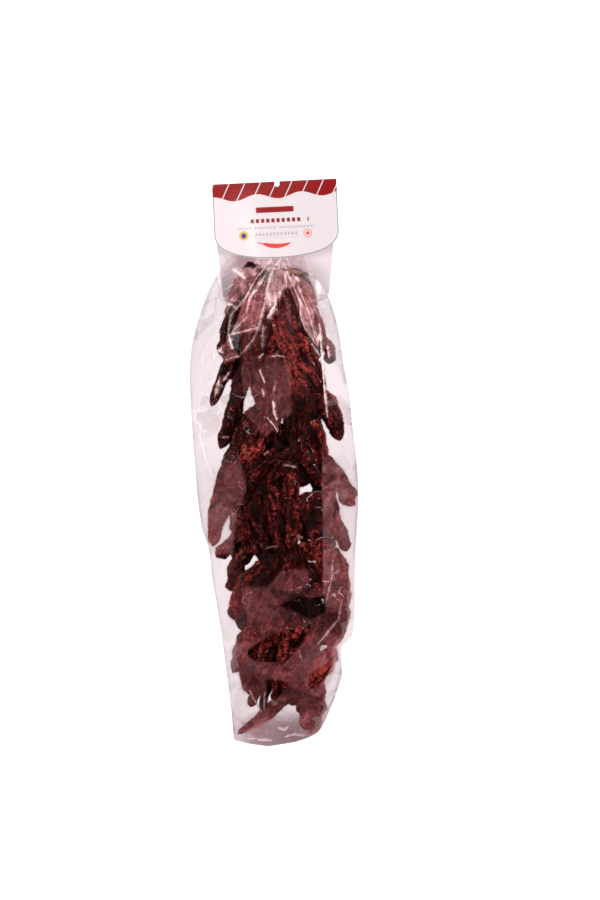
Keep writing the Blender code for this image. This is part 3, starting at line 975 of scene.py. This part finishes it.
def sampled(field, heap, x, y):
    """A map read between its cells."""
    across = np.clip((x - heap.low[0]) / heap.cell, 0, field.shape[0] - 1.001)
    along = np.clip((y - heap.low[1]) / heap.cell, 0, field.shape[1] - 1.001)
    i, j = across.astype(int), along.astype(int)
    u, v = across - i, along - j
    return (field[i, j] * (1 - u) * (1 - v) + field[i + 1, j] * u * (1 - v)
            + field[i, j + 1] * (1 - u) * v + field[i + 1, j + 1] * u * v)


def facets(x, y, spots, heights, levels):
    """Flat facets between scattered spots: the height of each one's plane at each place, and its level."""
    found, level = np.zeros_like(x), np.zeros_like(x)
    corners, _, triangles, *_ = delaunay_2d_cdt([Vector(spot) for spot in spots.tolist()], [], [], 0, 1e-6)
    corners = np.array([tuple(corner) for corner in corners])
    for number, triangle in enumerate(triangles):
        (ax, ay), (bx, by), (cx, cy) = corners[list(triangle)]
        span = (by - cy) * (ax - cx) + (cx - bx) * (ay - cy)
        if abs(span) < 1e-9:
            continue
        near = (x > min(ax, bx, cx)) & (x < max(ax, bx, cx)) & (y > min(ay, by, cy)) & (y < max(ay, by, cy))
        px, py = x[near], y[near]
        first = ((by - cy) * (px - cx) + (cx - bx) * (py - cy)) / span
        second = ((cy - ay) * (px - cx) + (ax - cx) * (py - cy)) / span
        third = 1 - first - second
        here = (first >= 0) & (second >= 0) & (third >= 0)
        plane = first * heights[triangle[0]] + second * heights[triangle[1]] + third * heights[triangle[2]]
        for field, value in ((found, plane[here]), (level, levels[number % len(levels)])):
            patch = field[near]
            patch[here] = value
            field[near] = patch
    return found, level


def crumples(x, y):
    """Sharp creases in the film: a fan and finer pleats from the neck, then short and broad ones all over."""
    dice = np.random.default_rng(11)
    turn = np.arctan2(x - NECK[0], NECK[1] - y)
    reach = np.log(np.hypot(x - NECK[0], y - NECK[1]) / 10 + 1)
    round_neck, whole_bag = ((-7, 7), (0, 3.8)), ((-110, 110), (-355, 345))
    finer_round_neck = ((-18, 18), (0, 3.8))
    made = []
    for across, along, (across_range, along_range), count, power in (
        (turn * 3.2, reach, round_neck, 300, 1.5),
        (turn * 9.0, reach, finer_round_neck, 900, 1.5),
        (x, y, whole_bag, 700, 1.5),
        (x, y, whole_bag, 200, 1.0),
    ):
        spots = np.column_stack([dice.uniform(*across_range, count), dice.uniform(*along_range, count)])
        heights, levels = dice.uniform(0, 1, count) ** power, dice.uniform(0, 1, 997)
        made.append(facets(across, along, spots, heights, levels))
    return made


def inside(x, y, corners):
    """Where a place is inside a closed outline."""
    found = np.zeros(x.shape, bool)
    for (ax, ay), (bx, by) in zip(corners, corners[1:] + corners[:1]):
        if ay != by:
            found ^= ((y >= min(ay, by)) & (y < max(ay, by))) & (x < ax + (y - ay) * (bx - ax) / (by - ay))
    return found


def from_line(x, y, start, end):
    """Where on a straight line the point nearest each place is, from 0 to 1, and how far away it is."""
    (ax, ay), (bx, by) = start, end
    share = np.clip(((x - ax) * (bx - ax) + (y - ay) * (by - ay)) / ((bx - ax) ** 2 + (by - ay) ** 2), 0, 1)
    return share, np.hypot(x - ax - share * (bx - ax), y - ay - share * (by - ay))


def patch_share(x, y, corners, softness, fade):
    """How much of a patch reaches each place: soft at its outline, and fading in below its top."""
    away = np.full(x.shape, np.inf)
    for start, end in zip(corners, corners[1:] + corners[:1]):
        away = np.minimum(away, from_line(x, y, start, end)[1])
    away = np.where(inside(x, y, corners), away, -away)
    below = max(corner[1] for corner in corners) - y
    return np.clip(0.5 + away / softness, 0, 1) * np.clip(below / fade, 0, 1)


def snap_to_creases(x, y):
    """Moves the nearest points of each row or column onto the creases, so that their crests run straight."""
    columns, rows = np.arange(x.shape[1]), np.arange(x.shape[0])
    for _, _, _, places in CREASES:
        for (ax, ay), (bx, by) in zip(places, places[1:]):
            if abs(by - ay) >= abs(bx - ax):
                near = rows[(y[:, 0] >= min(ay, by)) & (y[:, 0] <= max(ay, by))]
                aim = ax + (y[near, 0] - ay) * (bx - ax) / (by - ay)
                column = np.abs(x[near] - aim[:, None]).argmin(axis=1)
                fine = (column > 1) & (column < len(columns) - 2) & (np.abs(x[near, column] - aim) < 1)
                x[near[fine], column[fine]] = aim[fine]
            else:
                for j in columns[2:-2]:
                    across = x[:, j]
                    aim = ay + (across - ax) * (by - ay) / (bx - ax)
                    i = np.abs(y[:, j] - aim).argmin()
                    if min(ax, bx) <= across[i] <= max(ax, bx) and abs(y[i, j] - aim[i]) < 1:
                        y[i, j] = aim[i]
    return x, y


def crease_relief(x, y):
    """How far the named creases stand up at each place, and their white, partly a painted highlight: soft on
    one side.
    """
    height, white = np.zeros_like(x), np.zeros_like(x)
    for half, rise, whiteness, places in CREASES:
        run = np.concatenate([[0], np.cumsum(np.hypot(*np.diff(np.array(places, float), axis=0).T))])
        crest, shine = np.zeros_like(x), np.zeros_like(x)
        for before, after, start, end in zip(run, run[1:], places, places[1:]):
            share, away = from_line(x, y, start, end)
            reach = before + share * (after - before)
            ends = np.clip(np.minimum(reach, run[-1] - reach) / run[-1] * 5 + 0.3, 0, 1)
            uneven = 0.75 + 0.3 * np.sin(reach * 0.55 + start[0]) + 0.25 * np.sin(reach * 1.3 + start[1])
            (ax, ay), (bx, by) = start, end
            softer = np.where((x - ax) * (by - ay) > (y - ay) * (bx - ax), 1.0, 0.5)
            crest = np.maximum(crest, np.clip(1 - away / (half * ends), 0, 1))
            shine = np.maximum(shine, np.clip(1 - away * softer / (half * ends * uneven), 0, 1))
        height = np.maximum(height, rise * crest)
        white = np.maximum(white, whiteness * shine)
    return height, white


# Where the film changes along the bag: the Y at which each change begins, and the Y at which it is full.
HIGH, GATHERED, LOW, AT_FOOT, SLACK, FOLDED_UNDER = (
    (60, 180), (150, 240), (-130, -170), (-185, -225), (-220, -280), (-300, -325))


def film_relief(x, y, covered):
    """What the creases and crumples add to the film's height, how cloudy it is, how white with painted
    highlights, and its tint.
    """
    (fan, fan_level), (pleats, pleat_level), (short, short_level), (broad, broad_level) = crumples(x, y)
    high, neck, low, foot = (reached(y, *span) for span in (HIGH, GATHERED, LOW, AT_FOOT))
    side = np.clip(np.abs(across_bag(x, y)) * 3 - 1.6, 0, 1)
    beside = np.clip(1 - covered * 1.5, 0, 1)
    crease, white = crease_relief(x, y)
    uneven = (0.45 + 0.55 * covered) * (1 - 0.9 * np.exp(-((x - 16) ** 2 + (y - 173) ** 2) / 200))
    rise = fan * 6 * high + pleats * 1.5 * neck + broad * (1.5 + 2 * low) + crease
    rise = rise + short * (1.5 * high + 0.7 + low) * uneven

    cloud = 0.16 * side * broad_level**2 + 0.36 * high * fan_level**3 + 0.3 * neck * pleat_level**3
    cloud = cloud + low * (0.04 + 0.16 * short_level) + foot * (0.05 + 0.22 * broad_level)
    # Painted highlights: white pleats round the neck and a white sheen on facets beside the peppers.
    white = np.maximum(white, 0.35 * neck * np.clip(pleat_level * 4 - 3, 0, 1))
    facing = np.clip(broad_level * 5 - 2.5, 0.05, 0.7) * short_level**0.4
    white = np.maximum(white, beside * reached(y, 20, 110) * facing)
    for cloudiness, whiteness, softness, fade, corners in CLOUDED:
        share = patch_share(x, y, corners, softness, fade)
        cloud = np.maximum(cloud, share * cloudiness * (0.5 + 0.8 * short_level))
        white = np.maximum(white, share * whiteness * (0.3 + 0.9 * fan_level * short_level))
    for corners in CLEAR_WINDOWS:
        cloud = cloud * (1 - patch_share(x, y, corners, 1.5, 1))
    slack = reached(y, *SLACK) * beside * (0.3 + 0.7 * broad_level)
    cloud = cloud * (0.2 + 0.8 * covered) + slack * (0.07 + 0.35 * reached(x, 0, 40))
    cloud = cloud + reached(y, *FOLDED_UNDER) * (0.2 + 0.5 * reached(x, -45, -15))

    # The tint is painted light from what lies under the film: red over the peppers, at the foot and round the
    # neck.
    tinged = np.maximum(covered, np.clip((-300 - y) / 15, 0, 0.42))
    tinged = np.maximum(tinged, np.clip((y - 215) / 20, 0, 0.7) * reached(np.abs(x - NECK[0]), 55, 40))
    return rise, np.clip(cloud, 0, 1), white, tinged


def film_grid(columns):
    """Places in rows from the foot to the bag's top, closer together near the side folds."""
    rows = np.concatenate([FOOT + np.array(FOOT_ROWS), np.arange(FIRST_ROW, LAST_ROW, ROW_STEP), [BAG_TOP]])
    y, even = rows[:, None], np.linspace(-1, 1, columns)[None, :]
    share = even + 0.25 * (np.sin(even * math.pi / 2) - even)
    left, right = level_curve(LEFT_FOLD, y), level_curve(RIGHT_FOLD, y)
    return (left + right) / 2 + (right - left) / 2 * share, y + 0 * share


def make_film(peppers, heap):
    """One closed film: the front drawn over the peppers, the back flat, and both joined at the side folds."""
    front, flap = drawn_over(relief_map(peppers, heap), heap)
    x, y = snap_to_creases(*film_grid(FRONT_COLUMNS))
    rise, cloud, white, tinged = film_relief(x, y, sampled(heap_cover(peppers, heap), heap, x, y))
    rim = np.clip((1 - np.abs(across_bag(x, y))) * 6, 0, 1)
    z = np.minimum(sampled(front, heap, x, y) + rim * rise, sampled(flap, heap, x, y))
    z[:, [0, -1]] = level_curve(FOLD_HEIGHT, y[:, [0, -1]])
    back_x, back_y = film_grid(BACK_COLUMNS)
    back_z = back_height(back_x, back_y)

    shape = bmesh.new()
    shades = [shape.verts.layers.float.new(name) for name in ("cloud", "white", "tinged")]

    def add(place, shade):
        corner = shape.verts.new(Vector(place) * MM)
        for layer, value in zip(shades, shade):
            corner[layer] = value
        return corner

    tops = [[add(point[:3], point[3:]) for point in zip(*row)] for row in zip(x, y, z, cloud, white, tinged)]
    backs = [[top[0], *(add(place, BACK_SHADES) for place in list(zip(*row))[1:-1]), top[-1]]
             for top, row in zip(tops, zip(back_x, back_y, back_z))]
    for grid, order in ((tops, 1), (backs, -1)):
        for near, far in zip(grid, grid[1:]):
            for i in range(len(near) - 1):
                shape.faces.new((near[i], near[i + 1], far[i + 1], far[i])[::order])
    shape.faces.new(backs[0] + tops[0][-2:0:-1])
    shape.faces.new(tops[-1] + backs[-1][-2:0:-1])
    mesh = mesh_of(shape, "clear_film")
    mesh.shade_smooth()
    mesh.materials.append(film_finish())
    return placed("clear_film", mesh)


# The film's tints: where it is clear, and beside and over the peppers where it is cloudy or creased; the
# darker red over the peppers is painted light from them.
CLEAR_TINT = (0.935, 0.906, 0.915, 1)
CLOUDY_TINTS = (0.48, 0.35, 0.38, 1), (0.34, 0.08, 0.088, 1)
CREASE_TINTS = (1.0, 0.96, 0.965, 1), (1.0, 0.73, 0.745, 1)
SHINE_TINT = (1, 0.9, 0.91, 1)


def film_finish():
    """Clear film: cloudy where slack, with painted highlights as white streaks where drawn together and along
    its creases.
    """
    material, tree, _ = new_finish("clear_film")
    tree.nodes.clear()
    cloud, white, tinged = painted(tree, "cloud", "white", "tinged")
    place = read(tree, "ShaderNodeTexCoord", "Object")
    parts = add_node(tree, "ShaderNodeSeparateXYZ", {0: place})
    x, y = (Field(tree, parts.outputs[i]) for i in (0, 1))
    aside, down = x - NECK[0] * MM, NECK[1] * MM - y
    spokes = joined(tree, aside.math("ARCTAN2", down) * 9.0, (aside * aside + down * down) ** 0.5 * 14.0, 0.0)
    slants = joined(tree, (x - y) * 90.0, (x + y) * 22.0, 0.0)
    fan = crests(tree, spokes, 1.0, 1.0, 0.5, 0.5, 22.0)
    slack = crests(tree, slants, 1.0, 1.0, 0.5, 1.6, 16.0)
    above = y.ramp(0.02, 0.09)
    # The streaks are painted highlights, laid over the cloudy film.
    streak = fan * above * (tinged * 0.4 + 0.1) + slack * (1.0 - above) * tinged * 0.22
    smear = noise(tree, place, 45.0, 3.0, 0.6, 1.5)
    broken = noise(tree, place, 150.0, 3.0, 0.6).ramp(0.35, 0.6, 0.6, 1.0)
    white = (white * ((broken - 1.0) * tinged + 1.0) + streak * cloud * 0.9).clamp()
    thick = cloud * ((smear.ramp(0.3, 0.7, 0.6, 1.2) * (broken * 0.9 + 0.3) - 1.0) * tinged + 1.0)
    tint = mixed(tree, white, mixed(tree, tinged, *CLOUDY_TINTS), mixed(tree, tinged, *CREASE_TINTS))
    clear = read(tree, "ShaderNodeBsdfTransparent", 0, {"Color": CLEAR_TINT})
    haze = read(tree, "ShaderNodeBsdfDiffuse", 0, {"Color": tint})
    body = read(tree, "ShaderNodeMixShader", 0, {0: (thick + white * 0.85).clamp(), 1: clear, 2: haze})
    pleats = bumped(tree, fan * above * (cloud + 0.2) * 0.5, 1.0, 0.0004)
    shine = read(tree, "ShaderNodeBsdfAnisotropic", 0,
                 {"Color": SHINE_TINT, "Roughness": 0.025, "Normal": pleats})
    facing = read(tree, "ShaderNodeLayerWeight", "Facing", {"Blend": 0.5})
    whole = read(tree, "ShaderNodeMixShader", 0, {0: facing**5.0 * 0.35 + 0.05, 1: body, 2: shine})
    add_node(tree, "ShaderNodeOutputMaterial", {0: whole})
    return material


# ---------------------------------------------------------------- card


def card_rows():
    """The card's middle layer from the front flap's lower edge, over the fold, to the back flap's lower edge.

    Each row holds its places and how far down the front flap, or minus how far down the back flap, they are.
    """
    across = np.sin(np.linspace(-1, 1, 121) * math.pi / 2)
    width = across * CARD_HALF_WIDTH
    front_end = FRONT_SIDE + (FRONT_LENGTH - FRONT_SIDE) * (1 - np.abs(across) ** FRONT_ROUNDING) ** (
        1 / FRONT_ROUNDING
    )
    back_end = BACK_LENGTH - BACK_CORNER * (1 - (1 - np.abs(across) ** 5) ** (1 / BACK_ROUNDING))
    rows = []
    for share in np.linspace(1, 0, 49):
        down = FOLD_RADIUS + (front_end - FOLD_RADIUS) * share
        rows.append((*from_card(width, down), front_height(width, down), width, down))
    for turn in np.linspace(0, math.pi, 12)[1:-1]:
        down = FOLD_RADIUS * (1 - math.sin(turn)) + 0 * width
        height = CARD_THICKNESS / 2 + FOLD_RADIUS * (1 + math.cos(turn)) + 0 * width
        rows.append((*from_card(width, down), height, width, FOLD_RADIUS * math.cos(turn) + 0 * width))
    for share in np.linspace(0, 1, 41):
        down = FOLD_RADIUS + (back_end - FOLD_RADIUS) * share
        taper = 1 - BACK_TAPER / CARD_HALF_WIDTH * (down / BACK_LENGTH) ** 1.5
        flap = width * taper - BACK_LEAN * down / BACK_LENGTH
        rows.append((*from_card(flap, down), 0 * width + CARD_THICKNESS / 2, flap, -down))
    return [np.stack(row, axis=-1) for row in rows]


def notch_cutter():
    """A round-ended slot through both layers at the fold, open towards +Y."""
    shape = bmesh.new()
    radius = NOTCH_WIDTH / 2 * MM
    bmesh.ops.create_cone(shape, cap_ends=True, segments=64, radius1=radius, radius2=radius, depth=20 * MM)
    for corner in shape.verts:
        if corner.co.y > radius / 50:
            corner.co.y += 10 * MM
    x, y = from_card(NOTCH_ACROSS, NOTCH_DEPTH - NOTCH_WIDTH / 2)
    shape.transform(Matrix.Translation((x * MM, y * MM, 0)) @ Matrix.Rotation(CARD_TURN, 4, "Z"))
    return placed("hanging_notch", mesh_of(shape, "hanging_notch"))


def make_card():
    """The folded card: its middle layer given its thickness, then the notch cut through both flaps."""
    shape = bmesh.new()
    flaps = shape.loops.layers.uv.new("flaps")
    grid = [[(shape.verts.new(Vector(point[:3]) * MM), point[3:]) for point in row] for row in card_rows()]
    for near, far in zip(grid, grid[1:]):
        for i in range(len(near) - 1):
            corners = (near[i], near[i + 1], far[i + 1], far[i])
            face = shape.faces.new([corner for corner, _ in corners])
            for loop, (_, (across, down)) in zip(face.loops, corners):
                loop[flaps].uv = (0.5 + across / UV_SPAN, 0.5 + down / UV_SPAN)
    mesh = mesh_of(shape, "printed_card")
    mesh.shade_smooth()
    for finish in (printed_finish(), plain_board()):
        mesh.materials.append(finish)
    blank, cutter = placed("blank", mesh), notch_cutter()
    layer = blank.modifiers.new("thickness", "SOLIDIFY")
    layer.thickness, layer.offset = CARD_THICKNESS * MM, 0
    layer.material_offset = layer.material_offset_rim = 1
    cut = blank.modifiers.new("notch", "BOOLEAN")
    cut.operation, cut.object = "DIFFERENCE", cutter
    card = finished("header_card_printed", blank)
    bpy.data.objects.remove(cutter, do_unlink=True)
    return card


def within(value, low, high, soft=0.25):
    """1 where a value lies between two others, with soft edges."""
    return value.ramp(low - soft, low + soft) * value.ramp(high - soft, high + soft, 1.0, 0.0)


def either(*masks):
    """The most of some masks."""
    most = masks[0]
    for mask in masks[1:]:
        most = most.math("MAXIMUM", mask)
    return most


def word_bars(tree, across, down, left, right, top, foot, pitch, number):
    """A line of print too small to read: uneven bars in words of uneven length."""
    cell, part = ((across / pitch).math(operation) for operation in ("FLOOR", "FRACT"))
    roll = read(tree, "ShaderNodeTexWhiteNoise", 0, {"W": cell + number * 31.7}, noise_dimensions="1D")
    bars = within(part, 0.1, 0.72, 0.08) * roll.ramp(0.15, 0.2)
    return bars * within(across, left, right) * within(down, top, foot)


PAPER = dict(dark=(0.60, 0.53, 0.54, 1), light=(0.635, 0.55, 0.57, 1))
BARE_BOARD = dict(dark=(0.655, 0.55, 0.575, 1), light=(0.725, 0.62, 0.646, 1))
INKS = {
    "red": (0.215, 0.005, 0.006, 1), "border": (0.10, 0.12, 0.10, 1), "grey": (0.42, 0.36, 0.40, 1),
    "pepper": (0.58, 0.055, 0.045, 1), "bright red": (0.70, 0.09, 0.07, 1), "ochre": (0.62, 0.36, 0.08, 1),
    "blue": (0.05, 0.04, 0.16, 1),
}
# Lines of print: where each begins and ends across, its top and foot, how wide a letter is, and its number.
RED_LINE = (-44, 40, 46, 51, 6.3, 1.0)
GREY_LINES = (-50, 46, 56, 58.6, 3.4, 2.0), (-28, 26, 63.5, 67.5, 4.4, 3.0)
SEALS_ACROSS, SEALS_DOWN = (38.0, -40.0), 66.0


def printed_masks(tree, across, down):
    """Where each ink lies on the card, by its name, in the order of printing."""
    front = down.ramp(-0.2, 0.2)
    sway = (across / 8.6 + 1.0).math("SINE") * 3.4 + across * -0.02
    lean = ((across + down * 0.5) / 19.3 + 0.35).math("FRACT")
    band = (down - sway).ramp(17.6, 18.2, 1.0, 0.0) * (1.0 - within(lean, 0.46, 0.53, 0.012))

    drop = ((down - FRONT_SIDE) / (FRONT_LENGTH - FRONT_SIDE)).clamp()
    reach = (1.0 - (abs(across) / CARD_HALF_WIDTH).clamp() ** FRONT_ROUNDING) ** (1 / FRONT_ROUNDING)
    below = (reach * (FRONT_LENGTH - FRONT_SIDE) + FRONT_SIDE - down).clamp(0.0, 999.0)
    half = (1.0 - drop**FRONT_ROUNDING) ** (1 / FRONT_ROUNDING) * CARD_HALF_WIDTH
    beside = (half - abs(across)).clamp(0.0, 999.0)
    rim = below * beside / (below * below + beside * beside + 0.001).math("SQRT")
    border = within(rim, 0.5, 1.25, 0.2) * (down - sway).ramp(17.8, 18.2)

    red_print = either(within(across, -24, 22, 0.5) * within(down, 31.5, 38.5, 0.4),
                       word_bars(tree, across, down, *RED_LINE))
    grey_print = either(*(word_bars(tree, across, down, *line) for line in GREY_LINES),
                        within(across, -28, 26) * within(down, 69.8, 70.3, 0.15))
    ring, seal = (((across - middle) ** 2.0 + (down - SEALS_DOWN) ** 2.0).math("SQRT")
                  for middle in SEALS_ACROSS)
    bend = down - 80.5 + (across * across) * 0.012
    slim = ((across + 17.0) / 34.0).clamp(0.001, 1.0)
    fruit = (abs(bend) - slim**0.4 * (1.0 - slim).clamp() ** 0.6 * 5.6).ramp(-0.3, 0.3, 1.0, 0.0)
    stem = abs(bend + (across + 17.0) * 0.25).ramp(0.5, 1.0, 1.0, 0.0)
    return {
        "red": either(band, red_print * front),
        "border": border * front,
        "grey": grey_print * front,
        "pepper": (fruit * within(across, -17, 17) + within(across, -24, -16) * stem) * front,
        "bright red": either(within(ring, 4.4, 5.2, 0.2), ring.ramp(2.2, 2.6, 1.0, 0.0)) * front,
        "ochre": seal.ramp(5.6, 6.0, 1.0, 0.0) * front,
        "blue": seal.ramp(3.0, 3.4, 1.0, 0.0) * front,
    }


def printed_finish():
    """Coated white board with a waved red band, a fine border, bars for lines of print and a pepper."""
    material, tree, surface = new_finish("printed_board")
    flaps = read(tree, "ShaderNodeUVMap", uv_map="flaps")
    parts = add_node(tree, "ShaderNodeSeparateXYZ", {0: flaps})
    across, down = ((Field(tree, parts.outputs[i]) - 0.5) * UV_SPAN for i in (0, 1))
    fibre, colour = fibrous(tree, 900.0, 3.0, 0.6, **PAPER)
    for name, mask in printed_masks(tree, across, down).items():
        colour = mixed(tree, mask.clamp(), colour, INKS[name])
    fill(surface, {"Base Color": colour, "Roughness": 0.5, "Coat Weight": 0.5, "Coat Roughness": 0.28,
                   "Normal": bumped(tree, fibre, 0.15, 0.0001)})
    return material


def plain_board():
    """The card's uncoated inside and its cut edges."""
    material, tree, surface = new_finish("plain_board")
    fibre, paper = fibrous(tree, 500.0, 4.0, 0.65, **BARE_BOARD)
    fill(surface, {"Base Color": paper, "Roughness": 0.75, "Normal": bumped(tree, fibre, 0.3, 0.0002)})
    return material


# ---------------------------------------------------------------- stage

FLOOR_HALF, FLOOR_DROP = 4, 0.0005
CAMERA_PLACE, LENS, SENSOR = (0.0317, 0.0150, 3.6), 117.4, 36

# Each light's name, place, size and power, in metres and watts, what it lights, and whether it only shines.
LIGHTS = (
    ("key_right", (1.1, 0.3, 1.0), (0.5, 1.6), 32, "pack_only", False),
    ("key_left", (-1.1, 0.2, 0.9), (0.4, 1.5), 26, "pack_only", False),
    ("over_floor", (0.03, 0.015, 4.4), (0.3, 0.3), 310, "floor_only", False),
    ("glint_right", (0.9, 0.5, 1.3), (0.12, 0.7), 40, "peppers_only", True),
    ("glint_left", (-1.1, 0.3, 0.9), (0.1, 0.7), 32, "peppers_only", True),
    ("card_left", (-0.45, 0.42, 0.35), (0.2, 0.2), 0.75, "card_only", False),
    ("sheen", (-0.42, 1.25, 1.2), (0.3, 0.4), 3.5, "card_only", True),
    ("strip_right", (1.0, 0.25, 1.1), (0.02, 1.2), 0.6, "film_only", True),
    ("strip_left", (-1.2, 0.1, 0.9), (0.02, 1.2), 0.25, "film_only", True),
    ("strip_top", (-0.2, 1.4, 1.1), (0.5, 0.02), 0.35, "film_only", True),
)


def studio_floor():
    """A wide, plain, pale floor just under the pack."""
    mesh = bpy.data.meshes.new("floor")
    corners = [(x * FLOOR_HALF, y * FLOOR_HALF, -FLOOR_DROP) for x, y in ((-1, -1), (1, -1), (1, 1), (-1, 1))]
    mesh.from_pydata(corners, [], [(0, 1, 2, 3)])
    material, _, surface = new_finish("studio_floor")
    fill(surface, {"Base Color": (0.93, 0.93, 0.93, 1), "Roughness": 0.9})
    mesh.materials.append(material)
    floor = placed("floor", mesh)
    return floor


def light_stage(film, peppers, card, floor):
    """Soft boxes for the pack, one over the floor, narrow ones for each piece's shine, and a pale sky."""
    groups = {}
    for name, things in (("film_only", [film]), ("peppers_only", peppers), ("card_only", [card]),
                         ("pack_only", [film, card, *peppers]), ("floor_only", [floor])):
        groups[name] = bpy.data.collections.new(name)
        for thing in things:
            groups[name].objects.link(thing)
    for name, place, size, power, lit, shine in LIGHTS:
        light = bpy.data.lights.new(name, "AREA")
        light.shape, light.size, light.size_y, light.energy = "RECTANGLE", *size, power
        lamp = placed(name, light)
        lamp.location = place
        lamp.rotation_euler = (-Vector(place)).to_track_quat("-Z", "Y").to_euler()
        lamp.visible_glossy, lamp.visible_diffuse, lamp.visible_camera = shine, not shine, False
        lamp.light_linking.receiver_collection = groups[lit]
    world = bpy.data.worlds.new("studio")
    bpy.context.scene.world = world
    world.use_nodes = True
    sky = world.node_tree
    up = read(sky, "ShaderNodeSeparateXYZ", 2, {0: read(sky, "ShaderNodeTexCoord")})
    fill(sky.nodes["Background"], {1: up.ramp(0.4, 0.0, 0.003, 0.4)})


def stand_camera():
    """Looks straight down on the shown side."""
    camera = bpy.data.cameras.new("camera")
    camera.lens, camera.sensor_width = LENS, SENSOR
    stand = placed("camera", camera)
    stand.location = CAMERA_PLACE
    bpy.context.scene.camera = stand
    bpy.context.scene.view_settings.view_transform = "Standard"


stand_camera()
peppers, heap = make_peppers()
peppers.append(make_stalks(peppers, heap))
film, card = make_film(peppers, heap), make_card()
light_stage(film, peppers, card, studio_floor())
for piece in [*peppers, film, card]:
    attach(piece, "root")
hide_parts("filled_bag")
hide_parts("header_card")
